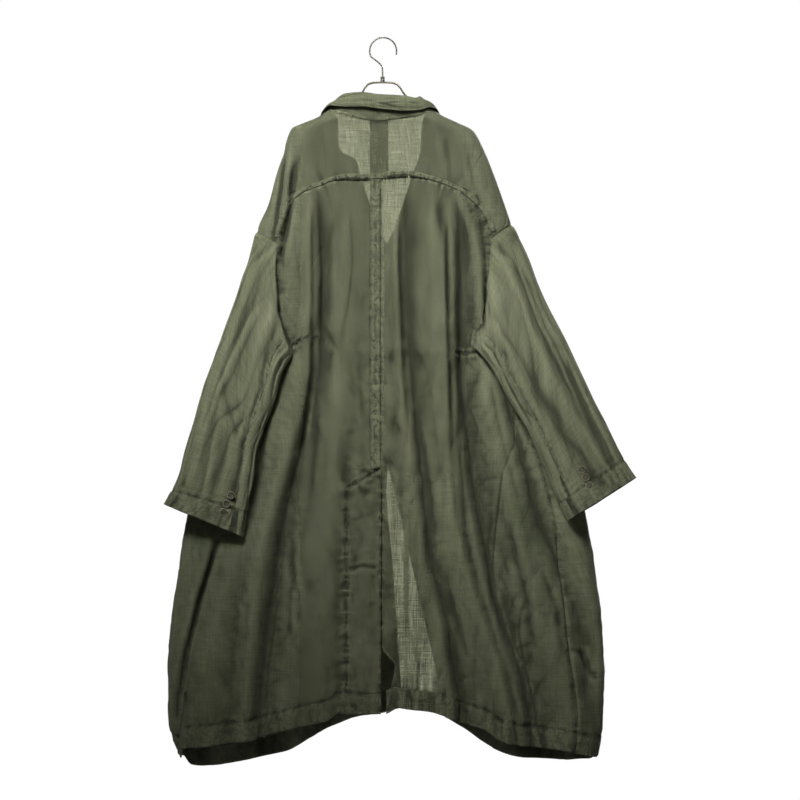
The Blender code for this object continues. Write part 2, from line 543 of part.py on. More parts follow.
def back_panels(cloth, dark):
    """Both back panels, the centre back seam, the vent's facing and underlap."""
    strips = np.array(VENT_STRIPS)
    seam_left = seam(YOKE_SEAM_LEFT, SEAM_STATIONS)
    seam_right = seam(YOKE_SEAM_RIGHT, BACK_COLUMNS + len(strips))

    def centre_edge(x, bottom):
        upper = np.linspace(UNDERARM, CENTRE_SEAM_TOP, ARMHOLE_ROWS + 1)[1:]
        heights = np.concatenate([skirt_heights(bottom, UNDERARM), upper])
        return np.stack([s_at(np.full_like(heights, x), heights), heights], axis=-1)

    # Left panel: hem to underarm along the side seam, then up the armhole to the yoke.
    round_z = [row[0] * MM for row in SIDE_SEAM_LEFT_ROUND][::-1]
    round_by = [row[1] * MM for row in SIDE_SEAM_LEFT_ROUND][::-1]
    heights = skirt_heights(SIDE_HEM_LEFT, UNDERARM)
    flat, arc = half_girth(heights, False)
    side_left = np.stack([-1 - smooth(heights, round_z, round_by) / (flat + arc), heights], axis=-1)
    side_left[0, 1] = hem_height(side_left[0, 0])
    armhole_left = seam(ARMHOLE_BACK_LEFT, ARMHOLE_ROWS)
    left_edge = np.concatenate([side_left, armhole_left[1:]])

    right_edge = centre_edge(CENTRE_SEAM_X, CENTRE_HEM)
    flat, arc = half_girth(right_edge[:, 1], True)
    strip_lines = [
        np.stack([right_edge[:, 0] - d / (flat + arc), right_edge[:, 1]], axis=-1) for d in strips
    ]
    bottom_s = np.linspace(left_edge[0, 0], strip_lines[0][0, 0], BACK_COLUMNS + 1)
    bottom = np.stack([bottom_s, hem_height(bottom_s)], axis=-1)
    strip_lines[0][0] = bottom[-1]
    flat_top, arc_top = half_girth(CENTRE_SEAM_TOP, True)
    top_line = seam_left[seam_left[:, 0] < right_edge[-1, 0] - strips[0] / (flat_top + arc_top)]
    top_line = np.concatenate([top_line, strip_lines[0][-1:]])
    top = resample(top_line, BACK_COLUMNS)
    left_edge[-1], strip_lines[0][-1] = top[0], top[-1]
    main = coons(left_edge, strip_lines[0], bottom, top, high=SEAM_PULL)
    grid_left = np.concatenate(
        [main] + [line[:, None] for line in strip_lines[1:]] + [right_edge[:, None]], axis=1
    )
    thickness = hem_thickness(*grid_left.shape[:2])
    outer, inner, normal = panel("back_left", grid_left, cloth, thickness)

    vent_rows = int(np.searchsorted(right_edge[:, 1], VENT_TOP)) + 1
    on_top("centre_back_seam", outer[vent_rows - 1 :, -2:], normal[vent_rows - 1 :, -2:], cloth)
    facing_outer = inner[:vent_rows, -5:] - normal[:vent_rows, -5:] * SEAM_GAP
    facing_inner = facing_outer - normal[:vent_rows, -5:] * FACING
    wall("vent_facing", facing_outer, facing_inner, dark)

    # Right panel: centre back to the side seam and armhole.
    top_right = seam_right
    bottom_s = np.linspace(right_edge[0, 0], s_at(*SIDE_HEM_RIGHT), len(top_right))
    bottom = np.stack([bottom_s, hem_height(bottom_s)], axis=-1)
    side = resample(np.asarray(SIDE_SEAM_RIGHT[::-1], float) * MM, SEAM_STATIONS)
    heights = skirt_heights(bottom[-1, 1], UNDERARM)
    side_x = np.interp(heights, side[:, 1], side[:, 0])
    side_right = np.stack([s_at(side_x, heights), heights], axis=-1)
    side_right[0] = bottom[-1]
    armhole_right = seam(ARMHOLE_BACK_RIGHT, ARMHOLE_ROWS)
    side_right = np.concatenate([side_right, armhole_right[1:]])
    top_right[-1] = side_right[-1]
    top_right[0] = right_edge[-1]
    bottom[0] = right_edge[0]
    grid_right = coons(right_edge, side_right, bottom, top_right, high=SEAM_PULL)
    x = body_point(grid_right[..., 0], grid_right[..., 1])[..., 0]
    sink = (
        UNDERLAP_DEPTH
        * ease((VENT_TOP - grid_right[..., 1]) / LAP_FADE)
        * (1 - ease((x - CENTRE_SEAM_X) / LAP_FADE))
    )
    thickness = hem_thickness(*grid_right.shape[:2])
    panel("back_right", grid_right, cloth, thickness, sink)
    return grid_left, grid_right


def vent_underlap(grid_right, dark):
    """The strip that continues the right panel's vent edge behind the left panel's flap."""
    rows = int(np.searchsorted(grid_right[:, 0, 1], VENT_TOP))
    edge = grid_right[:rows, 0]
    flat, arc = half_girth(edge[:, 1], True)
    offsets = np.linspace(-UNDERLAP_WIDTH, -SEAM_GAP, 5)
    s = edge[:, :1] + offsets[None, :] / (flat + arc)[:, None]
    z = np.repeat(edge[:, 1:], len(offsets), axis=1) + UNDERLAP_SHORTER
    sink = np.full(s.shape, UNDERLAP_DEPTH)
    panel("vent_underlap", np.stack([s, z], axis=-1), dark, CLOTH, sink, (False, True, False, False))


def shoulder_edge(turn, side, count):
    """The yoke's end: round the armhole from the yoke seam, then up the shoulder ridge."""
    around = seam(turn, SLEEVE_STATIONS[0])
    around[-1, 0] = side
    rows = np.linspace(turn[-1][1], SECTIONS[0].z, 40) * MM
    left, right, _, _, _ = section(rows)
    ridge = resample(np.stack([left if side < 0 else right, rows], axis=-1), count)
    ridge = np.stack([np.full(count + 1, side), ridge[:, 1]], axis=-1)
    ridge[0] = around[-1]
    return np.concatenate([around, ridge[1:]])


def beside(line, distance):
    """The line of (s, z) places moved sideways over the cloth, upwards for a line that runs right."""
    flat, arc = half_girth(line[:, 1], True)
    metric = np.stack([line[:, 0] * (flat + arc), line[:, 1]], axis=-1)
    tangent = np.gradient(metric, axis=0)
    tangent /= np.linalg.norm(tangent, axis=-1, keepdims=True)
    return line + np.stack([-tangent[:, 1] / (flat + arc), tangent[:, 0]], axis=-1) * distance


def yoke_panel(grid_left, grid_right, cloth, dark):
    """The yoke, its raised seam band and the plain strip inside it."""
    bottom = np.concatenate([grid_left[-1], grid_right[-1][1:]])
    left = shoulder_edge(SHOULDER_TURN_LEFT, -1.0, YOKE_ROWS)
    right = shoulder_edge(SHOULDER_TURN_RIGHT, 1.0, YOKE_ROWS)
    top = seam(NECK_SEAM, len(bottom) - 1)
    left[0], left[-1], right[0], right[-1] = bottom[0], top[0], bottom[-1], top[-1]
    band = beside(bottom, YOKE_BAND)
    band[0], band[-1] = left[1], right[1]
    rest = coons(left[1:], right[1:], band, top, low=ARCH_PULL)
    grid = np.concatenate([bottom[None], rest])
    outer, inner, normal = panel("back_yoke", grid, cloth)
    below = (False, False, True, False)
    on_top("yoke_seam", inset(outer[:2], *below, YOKE_BAND_DRAW), normal[:2], cloth)
    middle = grid_left.shape[1] - 1
    first, last = middle - 1, middle + 2
    face = inner[1:-1, first : last + 1] - normal[1:-1, first : last + 1] * SEAM_GAP
    wall("yoke_strip", face, face - normal[1:-1, first : last + 1] * FACING, dark)
    return left, right, grid


def front_panel(name, side, armhole, shoulder, side_seam, inner_edge, depth, cloth):
    """A front: side seam and armhole, shoulder, and the inner edge from the neck to the hem.

    depth is how far it lies under the other front where the two overlap.
    """
    sheet = "left" if side < 0 else "right"
    edge_z = [p[1] * MM for p in inner_edge][::-1]
    edge_x = [p[0] * MM for p in inner_edge][::-1]
    bottom_z = float(hem_height(s_at(edge_x[0], edge_z[0], sheet)))
    upper = np.linspace(UNDERARM, NECK_POINT - HEM_STEP, SLEEVE_STATIONS[2])[1:]
    heights = np.concatenate([skirt_heights(bottom_z, UNDERARM), upper, [NECK_POINT]])
    x = smooth(heights, edge_z, edge_x)
    inner_line = np.stack([s_at(x, heights, sheet), heights], axis=-1)
    inner_line[-1, 0] = side
    front_hole = seam(armhole, SLEEVE_STATIONS[2], sheet)
    front_hole[-1, 0] = front_hole[0, 0] = side
    outer_line = np.concatenate([side_seam, front_hole[1:]])
    bottom_s = np.linspace(outer_line[0, 0], inner_line[0, 0], FRONT_COLUMNS + 1)
    bottom = np.stack([bottom_s, hem_height(bottom_s)], axis=-1)
    bottom[0], bottom[-1] = outer_line[0], inner_line[0]
    top = resample(shoulder, FRONT_COLUMNS)
    top[:, 0] = side
    top[0], top[-1] = outer_line[-1], inner_line[-1]
    grid = coons(outer_line, inner_line, bottom, top)
    if side < 0:
        grid = grid[:, ::-1]
    x = body_point(grid[..., 0], grid[..., 1])[..., 0]
    z = grid[..., 1]
    sink = depth * ease((OVERLAP_TOP - z) / LAP_FADE) * (1 - ease((x - OVERLAP_WIDTH) / LAP_FADE))
    thickness = hem_thickness(*z.shape)
    return panel(name, grid, cloth, thickness, sink)


def lapel(name, side, inner_edge, cloth):
    """A lapel turned out over its front from the roll line."""
    sheet = "left" if side < 0 else "right"
    edge_z = [p[1] * MM for p in inner_edge][::-1]
    edge_x = [p[0] * MM for p in inner_edge][::-1]
    rows = resample(np.asarray(LAPEL, float) * MM, 8)[::-1]
    share = np.linspace(0, 1, 6)
    roll = smooth(rows[:, 0], edge_z, edge_x)
    x = roll[:, None] + side * (LAPEL_INSET + share[None, :] * rows[:, 1:2])
    z = rows[:, :1] - share[None, :] * 0.12 * rows[:, 1:2]
    s = s_at(x, z, sheet)
    normal = body_normal(s, z)
    clear = rows[:, 2:3] * np.minimum(1, LAPEL_SEAT + share[None, :] * 2)
    inner = body_point(s, z) + normal * clear[..., None]
    return wall(name, inner + normal * CLOTH, inner, cloth)


def ring_points(rings):
    """Centre lines of a sleeve's rings as arrays of outer and inner points and half thicknesses."""
    outer = np.array([[r.outer_x, r.outer_y, r.outer_z] for r in rings]) * MM
    inner = np.array([[r.inner_x, r.inner_y, r.inner_z] for r in rings]) * MM
    half = np.array([r.half for r in rings]) * MM
    return outer, inner, half


def drawn_in(ring, normals):
    """The armhole's ring a little inside the hole, where the sleeve starts."""
    inwards = np.cross(normals, np.roll(ring, -1, axis=0) - np.roll(ring, 1, axis=0))
    inwards /= np.linalg.norm(inwards, axis=-1, keepdims=True)
    inwards *= np.sign(((ring.mean(axis=0) - ring) * inwards).sum())
    return ring + inwards * ARMHOLE_DRAW


def sleeve_rounds():
    """Place round the sleeve of each armhole station: 0 at the outer edge, 0.5 at the inner."""
    turn, back, front = SLEEVE_STATIONS
    first = 0.5 * np.arange(turn + back) / (turn + back)
    return np.concatenate([first, 0.5 + 0.5 * np.arange(front) / front])


def clear_of_body(points, side, clear):
    """The points with those nearer than clear to the body's side moved straight out of it."""
    left, right, back, front, rounding = section(points[:, 2])
    middle = (left + right) / 2
    flat = (right - left) / 2 - rounding
    depth = np.where(points[:, 1] < 0, back, front) + clear
    across = (side * (points[:, 0] - middle) - flat) / (rounding + clear)
    deep = points[:, 1] / depth
    size = np.hypot(across, deep)
    out = np.where((across > 0) & (size < 1), 1 / size, 1)
    x = middle + side * (flat + across * out * (rounding + clear))
    return np.stack([np.where(out > 1, x, points[:, 0]), points[:, 1] * out, points[:, 2]], axis=-1)


def sleeve_grid(hole, hole_normal, rings, folds):
    """Rows of points round a sleeve, the first at the armhole, and the directions outwards."""
    outer, inner, half = ring_points(rings)
    rounds = sleeve_rounds()
    # The sleeve head stands up from its seam before it turns down the arm.
    rise = HEAD_RISE[0] + (HEAD_RISE[1] - HEAD_RISE[0]) * np.sin(math.pi * rounds) ** 2
    rows = [hole, hole + hole_normal * rise[:, None]]
    count = len(rings)
    for i in range(count):
        across = outer[i] - inner[i]
        width = np.linalg.norm(across)
        across = across / width
        before = (outer[max(i - 1, 0)] + inner[max(i - 1, 0)]) / 2
        after = (outer[min(i + 1, count - 1)] + inner[min(i + 1, count - 1)]) / 2
        along = (after - before) / np.linalg.norm(after - before)
        deep = np.cross(along, across)
        deep /= np.linalg.norm(deep)
        deep *= -np.sign(deep[1])
        angle = 2 * math.pi * rounds
        flat = np.sign(np.cos(angle)) * np.abs(np.cos(angle)) ** 0.9
        thick = np.sign(np.sin(angle)) * np.abs(np.sin(angle)) ** 0.9
        t = (i + 1) / count
        lift = np.zeros(len(rounds))
        for fold in folds:
            place = fold.round_start + (fold.round_end - fold.round_start) * t
            off = (rounds - place + 0.5) % 1 - 0.5
            fade = ease((t - fold.start) / 0.15 + 0.5) * ease((fold.end - t) / 0.15 + 0.5)
            lift += fold.depth * MM * fade * np.exp(-((off / fold.width) ** 2))
        centre = (outer[i] + inner[i]) / 2
        rows.append(
            centre
            + across * (flat * width / 2)[:, None]
            + deep * (thick * (half[i] + lift))[:, None]
        )
    side = float(np.sign(rings[0].outer_x))
    rows[2:6] = [clear_of_body(row, side, UNDERARM_CLEAR) for row in rows[2:6]]
    rows[1] = rows[1] + (rows[2] - rows[1]) * 0.15
    grid = np.stack(rows)
    closed = np.concatenate([grid[:, -1:], grid, grid[:, :1]], axis=1)
    around = closed[:, 2:] - closed[:, :-2]
    down = np.gradient(grid, axis=0)
    normal = np.cross(down, around)
    normal /= np.linalg.norm(normal, axis=-1, keepdims=True)
    middle = grid.mean(axis=1, keepdims=True)
    if ((grid - middle) * normal).sum() < 0:
        normal = -normal
    normal[0] += hole_normal * 0.6
    normal[0] /= np.linalg.norm(normal[0], axis=-1, keepdims=True)
    return grid, normal


def sleeve(side_name, hole, hole_normal, rings, folds, buttons, cloth, horn):
    """Top sleeve, under sleeve and the three cuff buttons on the back seam."""
    grid, normal = sleeve_grid(hole, hole_normal, rings, folds)
    thickness = np.full(grid.shape[:2], CLOTH)
    thickness[-2:] = CUFF_WALL
    stations = grid.shape[1]
    top = [i % stations for i in range(SLEEVE_FRONT_SEAM, stations + SLEEVE_BACK_SEAM + 1)]
    under = list(range(SLEEVE_BACK_SEAM, SLEEVE_FRONT_SEAM + 1))
    inner = grid - normal * thickness[..., None]
    for label, columns in (("top", top), ("under", under)):
        keep = (True, True, False, False)
        wall(
            f"sleeve_{side_name}_{label}",
            inset(grid[:, columns], *keep),
            inset(inner[:, columns], *keep),
            cloth,
        )
    for number, (x, z) in enumerate(buttons, 1):
        seat_button(
            f"cuff_button_{side_name}_{number}", grid, x * MM, z * MM, -1, CUFF_BUTTON_RADIUS, horn
        )


def surface_at(grid, x, z, facing):
    """Point of the grid's faces nearest the viewer at (x, z), looking along facing times Y."""
    best = None
    for row in range(grid.shape[0] - 1):
        for column in range(grid.shape[1] - 1):
            a, b = grid[row, column], grid[row, column + 1]
            c, d = grid[row + 1, column + 1], grid[row + 1, column]
            for p, q, r in ((a, b, c), (a, c, d)):
                edges = np.array([[q[0] - p[0], r[0] - p[0]], [q[2] - p[2], r[2] - p[2]]])
                area = np.linalg.det(edges)
                if abs(area) < 1e-12:
                    continue
                share = np.linalg.solve(edges, [x - p[0], z - p[2]])
                if share.min() < 0 or share.sum() > 1:
                    continue
                point = p + share[0] * (q - p) + share[1] * (r - p)
                if best is None or (point[1] - best[1]) * facing > 0:
                    best = point
    return best


def seat_button(name, grid, x, z, facing, radius, finish):
    """A button with a raised rim, flat on the cloth at (x, z)."""
    angles = np.linspace(0, 2 * math.pi, 8, endpoint=False)
    ring = [
        surface_at(grid, x + radius * math.cos(a), z + radius * math.sin(a), facing)
        for a in angles
    ]
    centre = surface_at(grid, x, z, facing)
    ring = np.array([p for p in ring if p is not None])
    across, up = ring[0] - ring[len(ring) // 2], ring[2] - ring[-2]
    out = np.cross(across, up)
    out *= np.sign(out[1] * facing) / np.linalg.norm(out)
    rise = max(0.0, ((ring - centre) @ out).max()) + SEAM_GAP
    across = across - out * (across @ out)
    across /= np.linalg.norm(across)
    up = np.cross(out, across)
    profile = ((0.80, 0.0), (1.0, 0.35), (1.0, 0.75), (0.84, 1.0), (0.66, 0.72))
    sides = 14
    base = centre + out * rise
    points = [base, base + out * (0.72 * BUTTON_HEIGHT)]
    for share, lift in profile:
        for i in range(sides):
            turn = 2 * math.pi * i / sides
            spoke = across * math.cos(turn) + up * math.sin(turn)
            points.append(base + spoke * radius * share + out * lift * BUTTON_HEIGHT)
    faces = []
    rings = len(profile)
    for i in range(sides):
        j = (i + 1) % sides
        faces.append((0, 2 + j, 2 + i))
        faces.append((1, 2 + (rings - 1) * sides + i, 2 + (rings - 1) * sides + j))
        for k in range(rings - 1):
            a, b = 2 + k * sides + i, 2 + k * sides + j
            faces += [(a, b, b + sides), (a, b + sides, a + sides)]
    return solid(name, points, faces, finish, 30)


def collar(cloth):
    """The stand round the back of the neck and the fall that folds over it."""
    stations = np.linspace(0, len(COLLAR) - 1, COLLAR_STATIONS + 1)
    at = np.arange(len(COLLAR))

    def line(column):
        rows = np.array([getattr(row, column) for row in COLLAR], float) * MM
        return np.stack([smooth(stations, at, rows[:, i]) for i in range(3)], axis=-1)

    base, fold, edge = line("base"), line("fold"), line("edge")
    low, high = base + (0, 0, 0.4 * MM), fold - (0, 0, 0.4 * MM)
    along = np.gradient(fold, axis=0)
    stand = np.stack([low, (low + high) / 2, high])
    out = np.cross(along, high - low)
    out /= np.linalg.norm(out, axis=-1, keepdims=True)
    out *= -np.sign(out[len(out) // 2, 1])
    wall("collar_stand", stand, stand - out * CLOTH, cloth)
    drop = edge - fold
    away = np.cross(along, drop)
    away /= np.linalg.norm(away, axis=-1, keepdims=True)
    away *= -np.sign(away[len(away) // 2, 1])
    up = np.array((0, 0, 1.0))
    inside = np.stack(
        [
            fold - out * (CLOTH + 0.2 * MM),
            fold + out * 0.9 * MM,
            fold + drop * 0.35 + away * 2.2 * MM,
            fold + drop * 0.7 + away * 1.6 * MM,
            edge,
        ]
    )
    outward = np.stack([up - out * 0.4, up + out * 0.8, away, away, away])
    outward = outward / np.linalg.norm(outward, axis=-1, keepdims=True)
    wall("collar_fall", inside + outward * CLOTH, inside, cloth)


def tube(name, points, radius, finish, cyclic=False, resolution=2):
    """A round wire through the points."""
    curve = bpy.data.curves.new(name, "CURVE")
    curve.dimensions = "3D"
    curve.bevel_depth = radius
    curve.bevel_resolution = resolution
    curve.use_fill_caps = not cyclic
    spline = curve.splines.new("POLY")
    spline.points.add(len(points) - 1)
    for target, place in zip(spline.points, points):
        target.co = (*place, 1)
    spline.use_cyclic_u = cyclic
    made = bpy.data.objects.new(name, curve)
    made.data.materials.append(finish)
    bpy.context.scene.collection.objects.link(made)
    return made


def hanger(steel):
    """The hook, its ferrule, and the frame of one wire that runs out, round and back."""
    angles = np.radians(np.linspace(HOOK_TIP_DEGREES, HOOK_HEEL_DEGREES, 22))
    cx, cz = HOOK_CENTRE
    arc = [(cx + HOOK_RADIUS * math.cos(a), 0, cz + HOOK_RADIUS * math.sin(a)) for a in angles]
    swan = np.array([(x * MM, 0, z * MM) for x, z in HOOK_SWAN])
    swan = resample(np.concatenate([[arc[-1]], swan]), 9)
    tube("hanger_hook", arc + [tuple(p) for p in swan[1:]], WIRE, steel)
    sides = 16
    rings = ((0.8, 0.0), (1.0, 0.12), (1.0, 0.88), (0.8, 1.0))
    points = [(0, 0, FERRULE_TOP), (0, 0, FERRULE_TOP - FERRULE_LENGTH)]
    for share, down in rings:
        for i in range(sides):
            turn = 2 * math.pi * i / sides
            points.append(
                (
                    FERRULE_RADIUS * share * math.cos(turn),
                    FERRULE_RADIUS * share * math.sin(turn),
                    FERRULE_TOP - FERRULE_LENGTH * down,
                )
            )
    faces = []
    for i in range(sides):
        j = (i + 1) % sides
        faces.append((0, 2 + i, 2 + j))
        faces.append((1, 2 + 3 * sides + j, 2 + 3 * sides + i))
        for k in range(3):
            a, b = 2 + k * sides + i, 2 + k * sides + j
            faces += [(a, a + sides, b + sides), (a, b + sides, b)]
    solid("hanger_ferrule", points, faces, steel, 30)
    half = resample(np.array(FRAME_HALF, float) * MM, 20)
    tip = half[-1] + (2.6 * MM, -2.2 * MM, -1.2 * MM)
    right = np.concatenate([half, tip[None], (tip * (1, 0, 1) + (1.6 * MM, 0, -0.5 * MM))[None]])
    near = np.concatenate([(right * (-1, -1, 1))[:0:-1], right * (1, -1, 1)])
    far = (near * (1, -1, 1))[::-1][1:-1]
    tube("hanger_frame", np.concatenate([near, far]), WIRE, steel, cyclic=True)


def main():
    for old in list(bpy.data.objects):
        bpy.data.objects.remove(old, do_unlink=True)
    cloth = material("linen", LINEN, 0.9)
    dark = material("linen_inside", LINEN_DARK, 0.9)
    horn = material("button_horn", HORN, 0.35)
    steel = material("wire_steel", STEEL, 0.3, 1.0)

    grid_left, grid_right = back_panels(cloth, dark)
    vent_underlap(grid_right, dark)
    yoke_left, yoke_right, _ = yoke_panel(grid_left, grid_right, cloth, dark)

    rows = SKIRT_ROWS + 3
    turn, _, front = SLEEVE_STATIONS
    outer, _, _ = front_panel(
        "front_left", -1.0, ARMHOLE_FRONT_LEFT, yoke_left[turn:], grid_left[:rows, 0],
        FRONT_EDGE_LEFT, 0.0, cloth,
    )
    for number, (x, z) in enumerate(FRONT_BUTTONS, 1):
        seat_button(f"front_button_{number}", outer, x * MM, z * MM, 1, FRONT_BUTTON_RADIUS, horn)
    front_panel(
        "front_right", 1.0, ARMHOLE_FRONT_RIGHT, yoke_right[turn:], grid_right[:rows, -1],
        FRONT_EDGE_RIGHT, OVERLAP_DEPTH, cloth,
    )
    lapel("lapel_left", -1.0, FRONT_EDGE_LEFT, cloth)
    lapel("lapel_right", 1.0, FRONT_EDGE_RIGHT, cloth)

    for side, name, grid, column, yoke_edge, armhole, rings, folds, buttons in (
        (-1.0, "left", grid_left, 0, yoke_left, ARMHOLE_FRONT_LEFT, SLEEVE_LEFT,
         SLEEVE_LEFT_FOLDS, CUFF_BUTTONS_LEFT),
        (1.0, "right", grid_right, -1, yoke_right, ARMHOLE_FRONT_RIGHT, SLEEVE_RIGHT,
         SLEEVE_RIGHT_FOLDS, CUFF_BUTTONS_RIGHT),
    ):
        shoulder = yoke_edge[turn:0:-1]
        back_line = grid[rows - 1 :, column][::-1]
        front_line = seam(armhole, front, name)
        front_line[-1, 0] = front_line[0, 0] = side
        hole = np.concatenate([shoulder, back_line, front_line[1:-1]])
        points, normals = body_point(hole[:, 0], hole[:, 1]), body_normal(hole[:, 0], hole[:, 1])
        points = drawn_in(points, normals)
        sleeve(name, points, normals, rings, folds, buttons, cloth, horn)
    collar(cloth)
    hanger(steel)


main()
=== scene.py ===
"""Dressed model of a linen long coat on a wire hanger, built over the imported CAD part.

The wearer's left is at -X and the coat's back faces -Y. Tables are in millimetres, as in the part's
source, and finished pieces are in metres. The body is one tube of cloth: its girth coordinate s runs
from -1 to 1 across the back and past -1 and 1 round the sides onto the fronts.
"""

import logging
import math
from dataclasses import dataclass, field
from enum import Enum
from typing import Iterable, Optional, Sequence

import bpy
import numpy as np
from mathutils import Matrix, Vector


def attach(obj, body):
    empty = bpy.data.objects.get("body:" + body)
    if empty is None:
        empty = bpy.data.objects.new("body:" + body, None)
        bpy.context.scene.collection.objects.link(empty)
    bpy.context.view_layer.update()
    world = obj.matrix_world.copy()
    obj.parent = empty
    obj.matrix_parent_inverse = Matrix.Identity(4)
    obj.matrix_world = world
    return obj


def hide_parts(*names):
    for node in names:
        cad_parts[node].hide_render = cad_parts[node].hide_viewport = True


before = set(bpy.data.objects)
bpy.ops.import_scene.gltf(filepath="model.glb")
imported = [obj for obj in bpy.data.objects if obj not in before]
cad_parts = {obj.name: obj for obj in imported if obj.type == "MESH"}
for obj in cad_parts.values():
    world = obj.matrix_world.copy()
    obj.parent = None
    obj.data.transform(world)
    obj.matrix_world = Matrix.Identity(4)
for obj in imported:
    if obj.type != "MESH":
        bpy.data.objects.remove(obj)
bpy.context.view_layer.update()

LOG = logging.getLogger("linen_coat")
Array = np.ndarray
Pairs = Sequence[tuple[float, float]]
Colour = tuple[float, float, float]
Piece = bpy.types.Object
Finish = bpy.types.Material
Socket = bpy.types.NodeSocket

MM = 0.001
CLOTH = 1.2 * MM
# Thinner cloth of turned hems and raised bands, and of the strips inside, and how far in those lie.
BAND_CLOTH = 0.8 * MM
STRIP_CLOTH = 1.0 * MM
INNER_GAP = 1.6 * MM
HEM_DEPTH = 38 * MM
HEM_ROW = HEM_DEPTH - 3 * MM
UNDERARM = -590 * MM
CENTRE_SEAM_X = -3 * MM
CENTRE_SEAM_TOP = -271 * MM
NECK_POINT = -135 * MM
HEM_LEVEL = -1340 * MM
HEM_SIDE = -1368 * MM
HEM_SIDE_SHARES = (0.06, 0.03)
SIDE_HEM_LEFT = -1384 * MM
SIDE_HEM_RIGHT = (364 * MM, -1364 * MM)
VENT_TOP = -820 * MM
UNDERLAP_DEPTH = 6.5 * MM
UNDERLAP_WIDTH = 62 * MM
OVERLAP_DEPTH = 5.0 * MM
OVERLAP_TOP = -385 * MM
OVERLAP_WIDTH = 30 * MM
LAP_FADE = 60 * MM
FOLD_FADE = 150 * MM
YOKE_BAND = 9.5 * MM
CENTRE_BAND = 20 * MM
FACING_X = -70 * MM
# The slanted rows of stitches at the vent's top, as (x, z) pairs.
VENT_SLOPE = ((-70, -861), (-36, -840), (-4, -819))
# How far the underlap's lower corner is pulled aside below the vent, by height.
CORNER_PULL = ((-1160, 0), (-1176, 12), (-1194, 27), (-1240, 18), (-1272, 11), (-1300, 9))
CORNER_REACH = 90 * MM
# How far from the middle the back's single layer lets the light through.
SHEER_REACH = 145 * MM
LIT_MARGIN = 7 * MM
# The narrowest cut that is logged for a band.
LEAST_CUT = 0.0105

# z, left, right, half depth of the back, of the front, and how far the sides round away.
SECTIONS = (
    (-135, -100, 92, 27, 28, 46), (-141, -109, 104, 27, 28, 46), (-149, -121, 117, 26, 27, 46),
    (-156, -136, 132, 26, 27, 46), (-164, -157, 149, 25, 27, 46), (-171, -172, 166, 25, 27, 46),
    (-179, -178, 176, 25, 27, 46), (-207, -187, 191, 25, 27, 48), (-264, -202, 214, 27, 29, 55),
    (-321, -219, 233, 30, 32, 62), (-369, -238, 246, 32, 34, 70), (-420, -240, 247, 33, 36, 76),
    (-500, -222, 222, 34, 39, 80), (-550, -198, 194, 34, 40, 80), (-590, -174.5, 183.5, 34, 40, 82),
    (-616, -190, 201.5, 32, 40, 84), (-654, -211, 229, 33, 41, 88), (-692, -231, 256, 35, 42, 94),
    (-749, -270, 292, 37, 45, 102), (-806, -309, 328, 39, 48, 110), (-863, -345, 362, 42, 51, 118),
    (-914, -370, 387, 45, 54, 122), (-1015, -386, 402, 50, 59, 122), (-1110, -401, 415, 54, 64, 122),
    (-1224, -409, 421, 59, 70, 122), (-1307, -408, 419, 61, 74, 122), (-1372, -389, 410, 62, 76, 122),
    (-1410, -384, 408, 62, 76, 122),
)

# Long folds: height at the top and at the bottom (ridges are positive), how soft the left and the
# right flank are, and the path as (z, x) pairs.
BACK_FOLDS = (
    (-6, -4, 7, 7, ((-240, -186), (-280, -192), (-370, -206))),
    (7, 5, 8, 6, ((-235, -176), (-300, -178), (-370, -192))),
    (-8, -6, 6, 10, ((-255, -166), (-330, -178), (-460, -198))),
    (9, 10, 15, 12, ((-320, -138), (-590, -140), (-700, -158), (-830, -190), (-960, -224), (-1150, -250),
     (-1290, -262))),
    (-15, -17, 10, 24, ((-340, -120), (-480, -113), (-620, -122), (-760, -150), (-900, -182),
     (-1060, -208), (-1200, -226), (-1300, -236))),
    (5, 5, 16, 20, ((-420, -84), (-700, -76), (-1000, -106), (-1250, -120))),
    (-4, -6, 14, 16, ((-600, -58), (-900, -74), (-1260, -86))),
    (-11, -25, 9, 16, ((-320, 46), (-440, 44), (-640, 55), (-820, 74), (-970, 90), (-1120, 124),
     (-1260, 146))),
    (12, 15, 22, 10, ((-330, 92), (-440, 112), (-640, 118), (-820, 132), (-940, 142), (-1060, 172),
     (-1180, 212), (-1290, 240))),
    (-18, -24, 9, 28, ((-340, 146), (-500, 150), (-640, 152), (-830, 170), (-960, 192), (-1080, 218),
     (-1200, 258), (-1300, 282))),
    (8, 6, 10, 8, ((-300, 146), (-430, 184), (-560, 192))),
    (-8, -7, 6, 8, ((-330, 184), (-460, 202), (-560, 204))),
    (12, 16, 14, 17, ((-620, 196), (-760, 220), (-900, 244), (-1030, 278), (-1150, 316), (-1270, 352))),
    (-14, -16, 11, 14, ((-640, 222), (-790, 262), (-900, 296), (-990, 328), (-1110, 376), (-1180, 392))),
    (7, 8, 12, 12, ((-700, 258), (-850, 300), (-950, 318))),
    (10, 8, 14, 16, ((-880, 320), (-1000, 370), (-1090, 398))),
    (-12, -14, 8, 13, ((-950, -312), (-1080, -346), (-1180, -370), (-1330, -394))),
    (8, 8, 14, 16, ((-930, -270), (-1060, -296), (-1200, -318), (-1320, -322))),
    (-7, -10, 14, 16, ((-1000, -262), (-1180, -284), (-1330, -292))),
)
